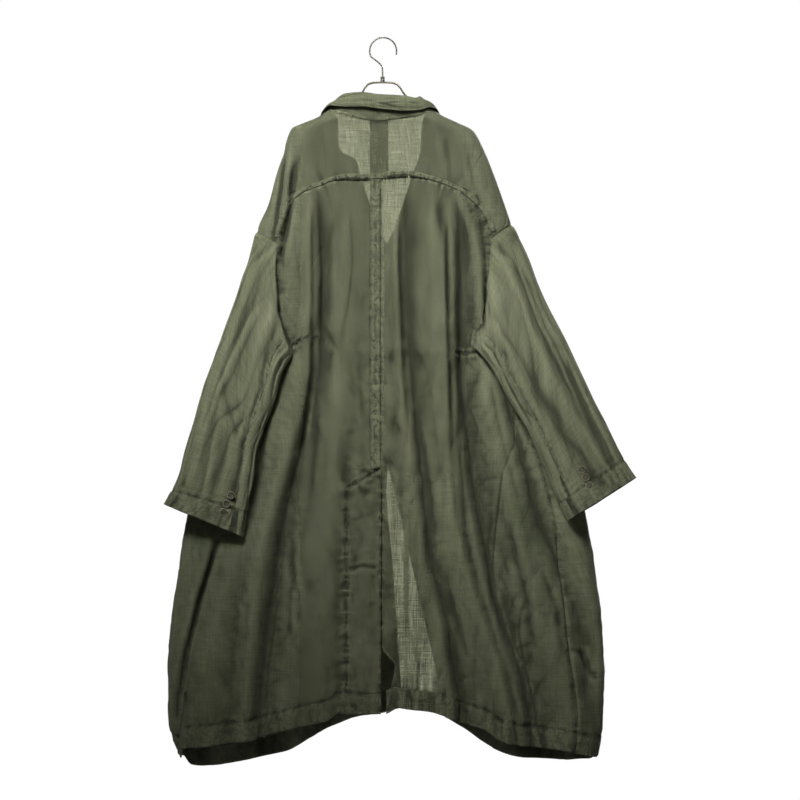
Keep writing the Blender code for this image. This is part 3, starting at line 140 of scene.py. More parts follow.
FRONT_FOLDS = (
    (8, 12, 16, 20, ((-420, -130), (-700, -150), (-1000, -190), (-1330, -236))),
    (-10, -16, 16, 20, ((-460, -100), (-760, -112), (-1050, -140), (-1350, -170))),
    (7, 12, 18, 18, ((-640, -60), (-900, -80), (-1320, -110))),
    (-8, -14, 16, 16, ((-700, -190), (-1000, -260), (-1350, -310))),
    (-12, -17, 16, 20, ((-440, 118), (-760, 140), (-1060, 186), (-1330, 226))),
    (9, 13, 16, 20, ((-420, 88), (-700, 96), (-1000, 128), (-1300, 160))),
    (8, 12, 18, 20, ((-660, 186), (-960, 240), (-1320, 292))),
    (-8, -14, 18, 18, ((-740, 228), (-1060, 300), (-1340, 350))),
)

# Seam lines and the hem's lower edge, as (x, z) pairs.
YOKE_SEAM_LEFT = (
    (-198, -395), (-190, -362), (-181, -336), (-170, -315), (-151, -298), (-116, -284), (-96, -276),
    (-67, -270), (-43, -271), (-3, -271),
)
YOKE_SEAM_RIGHT = (
    (-3, -271), (20, -265), (44, -264), (73, -269), (102, -277), (130, -287), (150, -298), (170, -314),
    (189, -333), (201, -355), (209, -384),
)
NECK_SEAM = (
    (-100, -135), (-80, -142), (-60, -147), (-41, -151), (-22, -155), (12, -153), (40, -149), (62, -146),
    (80, -141), (92, -135),
)
ARMHOLE_BACK_LEFT = (
    (-172, -590), (-180, -568), (-190, -545), (-199, -520), (-204, -495), (-205, -468), (-204, -445),
    (-201, -420), (-198, -395),
)
ARMHOLE_BACK_RIGHT = (
    (181, -590), (185, -566), (193, -543), (201, -520), (206, -495), (207, -468), (207, -440),
    (206, -412), (209, -384),
)
ARMHOLE_FRONT_LEFT = (
    (-172, -590), (-167, -568), (-161, -542), (-158, -515), (-160, -485), (-166, -455), (-178, -425),
    (-196, -400), (-216, -384), (-238, -369),
)
ARMHOLE_FRONT_RIGHT = (
    (181, -590), (173, -566), (166, -540), (161, -512), (162, -482), (168, -452), (180, -420),
    (198, -393), (220, -374), (243, -357),
)
SHOULDER_TURN_LEFT = ((-198, -395), (-210, -388), (-223, -380), (-238, -369))
SHOULDER_TURN_RIGHT = ((209, -384), (221, -374), (232, -366), (243, -357))
SIDE_SEAM_RIGHT = (
    (181, -590), (196, -616), (222, -654), (244, -692), (298, -806), (326, -914), (342, -1060),
    (352, -1180), (364, -1290), (364, -1364),
)
# The side seam of the wearer's left lies on the front sheet, this far round from the side edge.
SIDE_SEAM_LEFT_ROUND = ((-590, 0), (-700, 14), (-900, 52), (-1100, 112), (-1400, 180))
HEM_BACK = (
    (-389, -1372), (-381, -1354), (-362, -1351), (-292, -1341), (-248, -1336), (-204, -1324),
    (-150, -1309), (-100, -1298), (-81, -1285), (-43, -1286), (-3, -1285), (26, -1273), (39, -1276),
    (88, -1281), (113, -1288), (140, -1301), (195, -1316), (224, -1336), (289, -1350), (339, -1354),
    (370, -1362), (410, -1372),
)
HEM_FRONT = (
    (-389, -1374), (-379, -1394), (-358, -1398), (-292, -1393), (-237, -1382), (-194, -1371),
    (-150, -1352), (-100, -1326), (-40, -1304), (0, -1299), (40, -1289), (110, -1302), (155, -1327),
    (201, -1359), (247, -1379), (282, -1386), (339, -1387), (400, -1382), (410, -1374),
)
FRONT_EDGE_LEFT = (
    (-100, -135), (-87, -150), (-85, -178), (-84, -204), (-78, -216), (-54, -227), (-48, -238),
    (-42, -262), (-24, -317), (-8, -362), (14, -406), (23, -450), (24, -590), (22, -700), (12, -800),
    (7, -868), (18, -996), (26, -1110), (33, -1205), (38, -1300),
)
FRONT_EDGE_RIGHT = (
    (92, -135), (78, -150), (74, -180), (72, -213), (56, -262), (38, -317), (22, -362), (2, -406),
    (-10, -450), (-12, -590), (-12, -700), (0, -790), (14, -835), (40, -940), (64, -1045), (88, -1150),
    (109, -1243), (122, -1312),
)
# Lapel height, width out from its roll line, and how far it stands off the front.
LAPEL = ((-228, 52, 2.4), (-250, 66, 2.6), (-290, 54, 2.6), (-340, 30, 2.4), (-380, 9, 2.2))

# Sleeve rings: outer x, z, y, inner x, z, y, and half thickness.
SLEEVE_LEFT = (
    (-253, -418, -2, -176, -606, -28, 26), (-268, -458, -6, -187, -625, -36, 25),
    (-283, -505, -11, -197, -648, -41, 24), (-302, -559, -18, -203, -678, -45, 23),
    (-323, -616, -25, -214, -714, -49, 22), (-344, -678, -33, -227, -752, -53, 21),
    (-361, -739, -41, -240, -789, -57, 20), (-377, -796, -48, -244, -832, -60, 19),
    (-389, -840, -53, -252, -876, -62, 19), (-402, -868, -57, -259, -912, -65, 18),
    (-413, -889, -60, -265, -950, -68, 16),
)
SLEEVE_RIGHT = (
    (260, -388, -2, 186, -602, -28, 26), (275, -420, -6, 200, -620, -36, 25),
    (292, -466, -11, 216, -644, -41, 24), (313, -518, -18, 232, -676, -45, 23),
    (341, -571, -25, 252, -711, -49, 22), (370, -631, -33, 276, -750, -53, 21),
    (398, -688, -41, 296, -792, -57, 20), (427, -741, -48, 314, -834, -60, 19),
    (451, -789, -53, 328, -874, -62, 19), (466, -815, -57, 339, -896, -65, 18),
    (481, -838, -60, 352, -919, -68, 16),
)
# Folds of a sleeve: height, place round it (0 outer edge, 0.25 back, 0.5 inner edge) at its shoulder
# end and its cuff end, width on the lower and the higher side, and its start and end along it.
SLEEVE_LEFT_FOLDS = (
    (6, 0.13, 0.09, 0.022, 0.034, 0.05, 0.45), (-6, 0.19, 0.17, 0.034, 0.022, 0.08, 0.6),
    (5, 0.27, 0.3, 0.022, 0.036, 0.15, 0.85), (-5, 0.36, 0.25, 0.03, 0.02, 0.2, 0.7),
    (4, 0.12, 0.16, 0.026, 0.04, 0.5, 0.95), (5, 0.72, 0.76, 0.05, 0.05, 0.1, 0.8),
    (-5, 0.84, 0.8, 0.05, 0.05, 0.15, 0.75), (-2.6, 0.075, 0.06, 0.01, 0.018, 0.1, 0.42),
    (2.4, 0.22, 0.13, 0.012, 0.02, 0.22, 0.62), (-2.2, 0.32, 0.36, 0.012, 0.02, 0.42, 0.9),
    (2.2, 0.2, 0.24, 0.01, 0.018, 0.62, 0.97), (-2.0, 0.4, 0.33, 0.012, 0.02, 0.55, 0.85),
    (2.6, 0.42, 0.36, 0.014, 0.012, 0.08, 0.36), (-2.4, 0.45, 0.41, 0.01, 0.014, 0.12, 0.4),
    (2.0, 0.06, 0.08, 0.012, 0.014, 0.55, 0.98), (-2.4, 0.62, 0.66, 0.016, 0.022, 0.2, 0.62),
    (2.4, 0.9, 0.93, 0.016, 0.022, 0.35, 0.88),
)
SLEEVE_RIGHT_FOLDS = (
    (12, 0.17, 0.26, 0.02, 0.034, 0.04, 0.7), (-6, 0.1, 0.17, 0.03, 0.02, 0.2, 0.8),
    (-5, 0.25, 0.33, 0.02, 0.034, 0.1, 0.55), (5, 0.08, 0.08, 0.026, 0.03, 0.3, 0.9),
    (-5, 0.33, 0.22, 0.022, 0.03, 0.55, 0.95), (5, 0.72, 0.76, 0.05, 0.05, 0.1, 0.8),
    (-5, 0.84, 0.8, 0.05, 0.05, 0.15, 0.75), (-2.8, 0.14, 0.2, 0.01, 0.016, 0.12, 0.55),
    (2.4, 0.3, 0.38, 0.012, 0.018, 0.16, 0.6), (-2.6, 0.38, 0.44, 0.01, 0.016, 0.1, 0.48),
    (2.6, 0.41, 0.46, 0.012, 0.01, 0.06, 0.32), (2.2, 0.05, 0.12, 0.01, 0.018, 0.36, 0.78),
    (-2.4, 0.06, 0.05, 0.01, 0.018, 0.46, 0.92), (2.0, 0.28, 0.16, 0.012, 0.016, 0.6, 0.97),
    (-2.0, 0.4, 0.36, 0.01, 0.014, 0.66, 0.98), (2.4, 0.62, 0.58, 0.016, 0.022, 0.22, 0.66),
    (-2.4, 0.92, 0.9, 0.016, 0.022, 0.3, 0.8),
)
HEAD_RISE = (2, 7)
# Collar from the wearer's left front round the back neck: base, fold and edge points.
COLLAR = (
    ((-93, 16, -142), (-92, 16, -134), (-128, 34, -172)),
    ((-97, 8, -136), (-97, 8, -128), (-121, 22, -152)),
    ((-100, 0, -133.5), (-99, 0, -126), (-114, -1, -139)),
    ((-93, -15.5, -137), (-90, -13, -121), (-101, -22, -131)),
    ((-78, -25.6, -141.8), (-70, -22, -109), (-76, -31, -133)),
    ((-41, -26.4, -150.3), (-41, -25, -107), (-42, -34, -134)),
    ((-5, -26.2, -153.3), (-2, -25, -111), (-3, -34, -138)),
    ((32, -26.4, -149.6), (36, -25, -113), (37, -34, -142)),
    ((66, -26.8, -144.2), (62, -22, -117), (66, -31, -141)),
    ((84, -19.4, -138.2), (82, -13, -121), (92, -22, -134)),
    ((92, 0, -133.5), (91, 0, -126), (104, -1, -136)), ((89, 8, -136), (88, 8, -128), (113, 22, -152)),
    ((85, 16, -142), (84, 16, -134), (120, 34, -172)),
)
WIRE = 1.5
HOOK_RADIUS = 25.7
HOOK_CENTRE = (1.0, 1.5 - 25.7)
HOOK_TIP_DEGREES = -16
HOOK_HEEL_DEGREES = 205
HOOK_SWAN = ((-12, -43), (-4, -50), (-0.5, -56), (0, -64), (0, -73))
FERRULE_RADIUS = 4.2
FERRULE_TOP = -73.4
FERRULE_LENGTH = 9.0


# Small curve and noise tools


def smooth(at: Array, xs: Sequence[float], ys: Sequence[float]) -> Array:
    """Read a curve through points that never overshoots them and is flat outside them.

    Args:
        at: Where to read it.
        xs: Rising places of the points.
        ys: Their values.

    Returns:
        The curve's values.
    """
    xs, ys = np.asarray(xs, float), np.asarray(ys, float)
    at = np.clip(np.asarray(at, float), xs[0], xs[-1])
    extra = (1,) * (ys.ndim - 1)
    steps = np.diff(xs)
    slopes = np.diff(ys, axis=0) / steps.reshape((-1,) + extra)
    tangents = np.zeros_like(ys)
    tangents[0], tangents[-1] = slopes[0], slopes[-1]
    product, total = slopes[:-1] * slopes[1:], slopes[:-1] + slopes[1:]
    tangents[1:-1] = np.where(product > 0, 2 * product / np.where(product > 0, total, 1), 0)
    i = np.clip(np.searchsorted(xs, at, side="right") - 1, 0, len(steps) - 1)
    t = ((at - xs[i]) / steps[i]).reshape(at.shape + extra)
    span = steps[i].reshape(at.shape + extra)
    rise = ys[i + 1] - ys[i]
    a, b = tangents[i] * span, tangents[i + 1] * span
    return ys[i] + t * a + t**2 * (3 * rise - 2 * a - b) + t**3 * (a + b - 2 * rise)


def ease(t: Array) -> Array:
    """Return a soft step from 0 at t = 0 to 1 at t = 1."""
    t = np.clip(t, 0, 1)
    return t * t * (3 - 2 * t)


def metres(table: Sequence) -> Array:
    """Return a table of millimetres as an array in metres."""
    return np.asarray(table, float) * MM


def bell(x: Array) -> Array:
    """Return a soft bump: 1 at 0 and nearly 0 two units away."""
    return np.exp(-(x**2))


def near_hem(above: Array, inside: Array, reach: float) -> Array:
    """Return a strength in the turned hem that fades out over a reach above it."""
    return np.where(above < HEM_DEPTH, inside, np.exp(-(above - HEM_DEPTH) / reach))


def joined(*columns: Array) -> Array:
    """Return points from their coordinates, which are broadcast to one shape."""
    return np.stack(np.broadcast_arrays(*columns), axis=-1)


def walk(line: Array) -> Array:
    """Return the way along a line at each of its points, or up each column of a grid."""
    steps = np.linalg.norm(np.diff(line, axis=0), axis=-1)
    return np.concatenate([np.zeros_like(steps[:1]), np.cumsum(steps, axis=0)])


def resample(points: Sequence[Sequence[float]], count: int) -> Array:
    """Space points evenly along a smooth curve through the given ones.

    Args:
        points: The curve's points.
        count: The number of steps.

    Returns:
        One point more than steps.
    """
    points = np.asarray(points, float)
    along = walk(points)
    at = np.linspace(0, along[-1], count + 1)
    return joined(*(smooth(at, along, column) for column in points.T))


def noise(x: Array, y: Array, seed: int) -> Array:
    """Make smooth noise with features about one unit across.

    Args:
        x: Places along the first direction.
        y: Places along the second, which broadcast with x.
        seed: The noise's seed.

    Returns:
        Values from about -1 to 1.
    """
    table = np.random.default_rng(seed).uniform(-1, 1, (64, 64))
    x, y = np.broadcast_arrays(x, y)
    i, j = np.floor(x).astype(int), np.floor(y).astype(int)
    u, v = ease(x - i), ease(y - j)
    corner = [table[(i + a) % 64, (j + b) % 64] for a in (0, 1) for b in (0, 1)]
    low = corner[0] * (1 - u) + corner[2] * u
    high = corner[1] * (1 - u) + corner[3] * u
    return (low * (1 - v) + high * v) * 1.3


def layered(x: Array, y: Array, seed: int, octaves: int = 3) -> Array:
    """Make noise with finer layers on top, each half as strong.

    Args:
        x: Places along the first direction.
        y: Places along the second.
        seed: The first layer's seed.
        octaves: The number of layers.

    Returns:
        The noise's values.
    """
    total = np.zeros(np.broadcast(x, y).shape)
    for k in range(octaves):
        total = total + noise(x * 2**k, y * 2**k, seed + k) / 2**k
    return total


def crumple(x: Array, y: Array, seed: int, width: float = 0.16) -> Array:
    """Make a net of thin creases.

    Args:
        x: Places along the first direction.
        y: Places along the second.
        seed: The net's seed.
        width: How wide the creases are.

    Returns:
        -1 along each crease and 0 between them.
    """
    bent = x + 0.35 * noise(x * 0.7, y * 0.7, seed + 5)
    line = noise(bent, y + 0.3 * noise(x, y, seed + 6), seed)
    return -bell(line / width) * ease(0.5 + noise(x * 0.6, y * 0.6, seed + 9))


def unit(vectors: Array) -> Array:
    """Return the vectors scaled to length one."""
    return vectors / np.maximum(np.linalg.norm(vectors, axis=-1, keepdims=True), 1e-12)


def coons(left: Array, right: Array, bottom: Array, top: Array) -> Array:
    """Fill a grid between four edges of matching stations, with rows rising from bottom to top.

    Args:
        left: Points up the left edge.
        right: Points up the right edge, as many as left has.
        bottom: Points across the bottom edge.
        top: Points across the top edge, as many as bottom has.

    Returns:
        A grid of points, rows by columns.
    """

    def shares(line: Array) -> Array:
        """Return how far along its line each point lies, from 0 to 1."""
        along = walk(line * (0.3, 1.0))
        return along / along[-1]

    u = ((shares(bottom) + shares(top)) / 2)[None, :, None]
    v = ((shares(left) + shares(right)) / 2)[:, None, None]
    sides = (1 - u) * left[:, None] + u * right[:, None]
    bowed_low = bottom[None] - (1 - u) * bottom[0] - u * bottom[-1]
    bowed_high = top[None] - (1 - u) * top[0] - u * top[-1]
    return sides + (1 - v) * bowed_low + v**3 * bowed_high


def near_line(x: Array, z: Array, line: Pairs) -> tuple[Array, Array, float]:
    """Measure places against a line of (x, z) points.

    Args:
        x: Places across, in metres.
        z: Heights of the places, in metres.
        line: The line's points, in millimetres.

    Returns:
        Each place's distance from the line, how far along it the place lies, and the line's length.
    """
    best, along, start, line = np.full(np.shape(x), 1e9), np.zeros(np.shape(x)), 0.0, metres(line)
    for a, b in zip(line[:-1], line[1:]):
        step = b - a
        length = float(np.hypot(*step))
        t = np.clip(((x - a[0]) * step[0] + (z - a[1]) * step[1]) / length**2, 0, 1)
        distance = np.hypot(x - a[0] - t * step[0], z - a[1] - t * step[1])
        along = np.where(distance < best, start + t * length, along)
        best = np.minimum(best, distance)
        start += length
    return best, along, start


class Side(Enum):
    """The wearer's side that a paired piece belongs to."""

    LEFT = "left"
    RIGHT = "right"

    @property
    def sign(self) -> float:
        """Return -1 for the wearer's left and 1 for the right."""
        return self.pick(-1.0, 1.0)

    @property
    def front(self) -> "Sheet":
        """Return the front sheet on this side."""
        return self.pick(Sheet.LEFT_FRONT, Sheet.RIGHT_FRONT)

    def pick(self, left: object, right: object) -> object:
        """Return the first for the wearer's left and the second for the right."""
        return left if self is Side.LEFT else right


class Sheet(Enum):
    """The layer of the flattened body tube that a place lies on."""

    BACK = "back"
    LEFT_FRONT = "left"
    RIGHT_FRONT = "right"


@dataclass(frozen=True)
class Pucker:
    """Small gathers that a row of stitching pulls into the cloth beside it."""

    line: Pairs
    depth: float
    pitch: float
    reach: float
    on_back: bool = True

    def lift(self, x: Array, z: Array, seed: int) -> Array:
        """Return how far the gathers push the cloth out at places given in metres."""
        distance, along, _ = near_line(x, z, self.line)
        wave = layered(along / (self.pitch * MM), distance / (self.pitch * 5 * MM), seed, 2)
        return self.depth * MM * wave * np.exp(-distance / (self.reach * MM))


@dataclass(frozen=True)
class Crease:
    """One sharp crease pressed into the cloth, with a soft ridge on both of its sides."""

    line: Pairs
    depth: float
    width: float = 4.0
    on_back: bool = True

    def lift(self, x: Array, z: Array) -> Array:
        """Find how far the crease moves the cloth.

        Args:
            x: Places across, in metres.
            z: Their heights.

        Returns:
            The cloth's move outwards at each.
        """
        distance, along, total = near_line(x, z, self.line)
        fade = ease(along / (0.15 * total)) * ease((total - along) / (0.15 * total))
        width = self.width * MM
        ridge = 0.55 * bell((distance - 2.2 * width) / (1.2 * width))
        return self.depth * MM * fade * (ridge - bell(distance / width))


BODY_CREASES = tuple(Crease(*row) for row in (
    (YOKE_SEAM_LEFT, 0.7, 2.4),
    (YOKE_SEAM_RIGHT, 0.7, 2.4),
    (((-3, -268), (-3, -822)), 0.9, 2.2),
    (((-23, -268), (-23, -822)), 0.5, 2.2),
    (((-69, -850), (-69, -1300)), 2.0, 3.2),
    (((-74, -862), (-36, -841), (0, -818)), 2.2, 2.8),
    (ARMHOLE_BACK_LEFT, 0.6, 3.5),
    (ARMHOLE_BACK_RIGHT, 0.6, 3.5),
    (SIDE_SEAM_RIGHT, 1.2, 3.0),
    (((-309, -940), (-325, -1000), (-347, -1072), (-371, -1167), (-388, -1256), (-396, -1330)), 9, 5),
    (((-168, -950), (-171, -1030), (-178, -1148)), 3.2, 5),
    (((-176, -980), (-160, -1060), (-158, -1120)), 2.0, 5),
    (((372, -1160), (388, -1196), (410, -1226)), 5, 6),
    (((186, -600), (156, -603), (132, -600)), 2.2, 3.0),
    (((-174, -590), (-158, -580), (-140, -572)), 2.2, 3.0),
    (((-186, -200), (-194, -290), (-203, -372)), 3.0, 5),
    (((-168, -232), (-176, -330), (-196, -440)), 3.0, 5),
    (((160, -215), (176, -290), (186, -330)), 0.9, 6),
    (((118, -190), (126, -240), (130, -275)), 0.6, 6),
    (((200, -640), (226, -760), (262, -900)), 2.6, 6),
    (((232, -900), (268, -1040), (290, -1170)), 2.8, 7),
    (((196, -960), (214, -1080), (246, -1210)), 2.4, 6),
    (((-214, -700), (-236, -850), (-262, -960)), 2.6, 7),
    (((-120, -700), (-134, -860), (-160, -1010)), 1.8, 6),
    (((-250, -1050), (-262, -1180), (-268, -1290)), 2.0, 6),
    (((60, -700), (84, -820), (100, -930)), 1.8, 6),
    (((-66, -1012), (-34, -1006), (-6, -1010)), 1.6, 4),
    (((-133, -310), (-131, -450), (-134, -640), (-160, -820)), 2.8, 4),
    (((34, -330), (34, -450), (42, -640), (52, -760)), 2.6, 4),
    (((122, -320), (124, -450), (128, -640), (132, -800), (146, -980)), 2.8, 4),
    (((120, -1010), (136, -1090), (168, -1190)), 2.0, 6),
    (((300, -1010), (330, -1090), (344, -1180)), 2.4, 6),
    (((-150, -470), (-190, -620), (-230, -760)), 3.0, 7, False),
    (((-70, -620), (-96, -800), (-120, -1020)), 2.4, 7, False),
    (((140, -480), (186, -650), (226, -820)), 3.0, 7, False),
    (((90, -700), (120, -880), (140, -1090)), 2.4, 7, False),
    (((-250, -1000), (-290, -1140), (-300, -1260)), 2.8, 7, False),
    (((250, -1020), (300, -1150), (330, -1270)), 2.8, 7, False),
))
BODY_PUCKERS = tuple(Pucker(*row) for row in (
    (YOKE_SEAM_LEFT, 1.3, 9, 16),
    (YOKE_SEAM_RIGHT, 1.3, 9, 16),
    (((-3, -275), (-3, -820)), 0.9, 8, 12),
    (((-23, -275), (-23, -820)), 0.7, 9, 10),
    (((-3, -820), (-3, -1285)), 1.8, 9, 8),
    (((-69, -862), (-69, -1290)), 2.8, 8, 8),
    (((-72, -860), (-36, -840), (-2, -818)), 3.6, 10, 13),
    (((-26, -822), (-31, -880)), 1.6, 9, 12),
    (((-69, -1010), (-3, -1008)), 0.7, 14, 10),
    (ARMHOLE_BACK_LEFT, 1.4, 11, 13),
    (ARMHOLE_BACK_RIGHT, 1.4, 11, 13),
    (((-172, -590), (-150, -577), (-138, -574)), 1.8, 8, 12),
    (((186, -600), (156, -603), (132, -600)), 1.6, 9, 11),
    (SIDE_SEAM_RIGHT, 0.9, 11, 10),
    (NECK_SEAM, 0.9, 10, 11),
    (ARMHOLE_FRONT_LEFT, 1.2, 11, 12, False),
    (ARMHOLE_FRONT_RIGHT, 1.2, 11, 12, False),
    (FRONT_EDGE_LEFT[10:], 0.7, 13, 9, False),
    (FRONT_EDGE_RIGHT[8:], 0.7, 13, 9, False),
))


@dataclass
class BodyForm:
    """The body of the coat as one hanging tube of cloth, with its folds, creases and puckers."""

    sections: Array = field(default_factory=lambda: metres(SECTIONS[::-1]))
    back_folds: tuple = BACK_FOLDS
    front_folds: tuple = FRONT_FOLDS
    puckers: tuple = BODY_PUCKERS
    creases: tuple = BODY_CREASES
    fold_width: float = 1.55
    fold_depth: float = 1.1

    def section(self, z: Array) -> list[Array]:
        """Return the left and right edge, both half depths and the side rounding at heights z."""
        return [smooth(z, self.sections[:, 0], self.sections[:, k]) for k in range(1, 6)]

    def half_girth(self, z: Array, on_back: Array) -> tuple[Array, Array]:
        """Return the flat half width and the length of the rounded side of one layer."""
        left, right, back, front, rounding = self.section(z)
        depth = np.where(on_back, back, front)
        return (right - left) / 2 - rounding, math.pi / 4 * (rounding + depth)

    def girth_of(self, x: Array, z: Array, on_back: bool = True) -> Array:
        """Find how far across its layer a place lies.

        Args:
            x: Places across the coat.
            z: Their heights.
            on_back: Whether they lie on the back.

        Returns:
            0 in the middle, -1 and 1 at the sides.
        """
        left, right, _, _, rounding = self.section(z)
        flat, arc = self.half_girth(z, on_back)
        off = x - (left + right) / 2
        beyond = np.clip((np.abs(off) - flat) / rounding, 0, 1)
        length = np.minimum(np.abs(off), flat) + arc * np.arcsin(beyond) / (math.pi / 2)
        return np.sign(off) * length / (flat + arc)

    def place(self, x: Array, z: Array, sheet: Sheet = Sheet.BACK) -> Array:
        """Return the girth coordinate s of a place at x on the back or on one front."""
        e = self.girth_of(x, z, sheet is Sheet.BACK)
        return {Sheet.BACK: e, Sheet.LEFT_FRONT: -2 - e, Sheet.RIGHT_FRONT: 2 - e}[sheet]

    def seam(self, pairs: Pairs, count: int, sheet: Sheet = Sheet.BACK) -> Array:
        """Return count + 1 (s, z) places along a seam given by (x, z) pairs in millimetres."""
        line = resample(metres(pairs), count)
        return joined(self.place(*line.T, sheet), line[:, 1])

    def fold_lift(self, folds: tuple, e: Array, z: Array, half: Array) -> Array:
        """Add up the long folds of one layer.

        Args:
            folds: The layer's folds.
            e: Places across the layer, from -1 to 1.
            z: Heights.
            half: The layer's half girth there.

        Returns:
            How far they push the cloth outwards.
        """
        lift = np.zeros(np.broadcast(e, z).shape)
        for high, low, soft_left, soft_right, path in folds:
            heights, places = metres(path[::-1]).T
            off = (e - self.girth_of(smooth(z, heights, places), z)) * half
            widths = [soft * (self.fold_width if soft > 12 else 1.1) * MM for soft in (soft_left, soft_right)]
            width = np.where(off < 0, *widths)
            along = np.clip((heights[-1] - z) / (heights[-1] - heights[0]), 0, 1)
            depth = (high + (low - high) * along) * self.fold_depth * MM
            soft = min(FOLD_FADE, 0.35 * (heights[-1] - heights[0]))
            fade = ease((heights[-1] - z) / soft + 0.4) * ease((z - heights[0]) / soft + 1)
            lift += depth * fade * bell(off / width)
        return lift

    def wrapped(self, s: Array, z: Array) -> tuple[Array, ...]:
        """Find where places of the tube lie on their layer.

        Args:
            s: Girth coordinates.
            z: Heights in metres.

        Returns:
            Whether each lies on the back, its place e across its layer, its x, how far it has turned
            round the side, its layer's half depth, and the side's rounding.
        """
        left, right, back, front, rounding = self.section(z)
        on_back = np.abs(s) <= 1
        e = np.where(on_back, s, np.where(s < 0, -2 - s, 2 - s))
        flat, arc = self.half_girth(z, on_back)
        length = np.abs(e) * (flat + arc)
        angle = np.clip((length - flat) / arc, 0, 1) * math.pi / 2
        x = (left + right) / 2 + np.sign(e) * (np.minimum(length, flat) + rounding * np.sin(angle))
        return on_back, e, x, angle, np.where(on_back, back, front), rounding

    def bare(self, s: Array, z: Array) -> Array:
        """Find points of the tube with its long folds only.

        Args:
            s: Girth coordinates.
            z: Heights.

        Returns:
            The points.
        """
        s, z = np.broadcast_arrays(np.asarray(s, float), np.asarray(z, float))
        on_back, e, x, angle, depth, rounding = self.wrapped(s, z)
        facing = np.where(on_back, -1.0, 1.0)
        out_x, out_y = np.sign(e) * depth * np.sin(angle), facing * rounding * np.cos(angle)
        size, half = np.hypot(out_x, out_y), sum(self.half_girth(z, on_back))
        lifts = (self.fold_lift(folds, e, z, half) for folds in (self.back_folds, self.front_folds))
        lift = np.where(on_back, *lifts) * (1 - ease((np.abs(e) - 0.92) / 0.08))
        return joined(x + out_x / size * lift, facing * depth * np.cos(angle) + out_y / size * lift, z)

    def normal(self, s: Array, z: Array) -> Array:
        """Return the outward directions of the tube."""
        ds, dz = 0.004, 2 * MM
        across = self.bare(s + ds, z) - self.bare(s - ds, z)
        up = self.bare(s, z + dz) - self.bare(s, z - dz)
        return unit(np.cross(across, up))

    def flat(self, s: Array, z: Array, on_front: bool = False) -> Array:
        """Find where places lie on the flat cut.

        Args:
            s: Girth coordinates.
            z: Heights.
            on_front: Whether the cut is a front's.

        Returns:
            Metres from the centre line and from the hook.
        """
        back, front = (sum(self.half_girth(z, on_back)) for on_back in (True, False))
        if on_front:
            return joined(np.sign(s) * (2 - np.abs(s)) * front, z)
        inside = np.clip(s, -1, 1)
        return joined(inside * back + (s - inside) * front, z)

    def hem_height(self, s: Array) -> Array:
        """Find the height of the hem's edge.

        Args:
            s: Girth coordinates.

        Returns:
            The edge's height at each.
        """
        on_back, e, x, *_ = self.wrapped(np.asarray(s, float), HEM_LEVEL)
        back, front = (smooth(x, *metres(hem).T) for hem in (HEM_BACK, HEM_FRONT))
        share = ease((1 - np.abs(e)) / np.where(on_back, *HEM_SIDE_SHARES))
        return HEM_SIDE + (np.where(on_back, back, front) - HEM_SIDE) * share

    def relief(self, s: Array, z: Array, bare: Array) -> Array:
        """Add up the creases, the gathers and the turned hem.

        Args:
            s: Girth coordinates.
            z: Heights.
            bare: The tube's points there, with the long folds.

        Returns:
            How far they push the cloth outwards.
        """
        u = np.where(np.abs(s) <= 1, self.flat(s, z)[..., 0], self.flat(s, z, True)[..., 0])
        x = bare[..., 0]
        above = z - self.hem_height(s)
        low = ease((-0.3 - z) / 0.5)
        calm = 0.3 + 0.7 * ease((-0.25 - z) / 0.14)
        lift = 1.1 * MM * layered(u / 0.06, z / 0.16, 11)
        lift += 0.6 * MM * noise(u / 0.015 + 0.4 * noise(u / 0.05, z / 0.1, 3), z / 0.17, 31)
        lift += (0.22 + 0.15 * low) * MM * layered(u / 0.02, z / 0.03, 21)
        lift += 0.8 * low * MM * np.abs(noise((u + 0.5 * z) / 0.019, (z - 0.3 * u) / 0.024, 23))
        lift += (0.7 + 0.9 * low) * MM * crumple(u / 0.05, z / 0.24, 41, 0.12)
        bend = 0.3 * noise(u / 0.06, z / 0.09, 55)
        lift += (0.3 + 2.0 * low) * MM * np.abs(noise((u + 0.22 * z) / 0.055 + bend, z / 0.2, 51))
        lift += (0.2 + 1.2 * low) * MM * np.abs(noise((u - 0.35 * z) / 0.034 - bend, z / 0.09, 53))
        lift *= calm
        on_back = np.abs(s) <= 1
        for seed, pucker in enumerate(self.puckers):
            lift += np.where(on_back == pucker.on_back, pucker.lift(x, z, 100 + seed), 0)
        for crease in self.creases:
            lift += np.where(on_back == crease.on_back, crease.lift(x, z), 0)
        gathers = layered(u / 0.01, above / 0.06, 61, 2) + 0.8 * noise(u / 0.024, above / 0.05, 62)
        reach = near_hem(above, 0.75 + 0.25 * above / HEM_DEPTH, 0.02)
        ticks = np.abs(noise(u / 0.011, above / 0.08, 65))
        side = 1 - 0.8 * ease((0.12 - np.abs(np.abs(s) - 1)) / 0.12)
        lift += (1.2 * gathers + 3.4 * ticks) * MM * reach * side
        lift += 0.7 * MM * (1 - ease((above - HEM_DEPTH + 2 * MM) / (3 * MM)))
        lift -= 2.2 * MM * (1 + 0.5 * noise(u / 0.012, 0 * u, 63)) * bell((above - HEM_DEPTH) / (4.5 * MM))
        return lift

    def gathered(self, s: Array, z: Array) -> Array:
        """Find how strongly stitching gathers the cloth.

        Args:
            s: Girth coordinates.
            z: Heights.

        Returns:
            Strengths from 0 to 1.
        """
        x = self.bare(s, z)[..., 0]
        pull = near_hem(z - self.hem_height(s), 0.75, 0.014)
        on_back = np.abs(s) <= 1
        for pucker in self.puckers:
            near = bell(near_line(x, z, pucker.line)[0] / (0.6 * pucker.reach * MM))
            pull = np.maximum(pull, np.where(on_back == pucker.on_back, near, 0))
        return pull

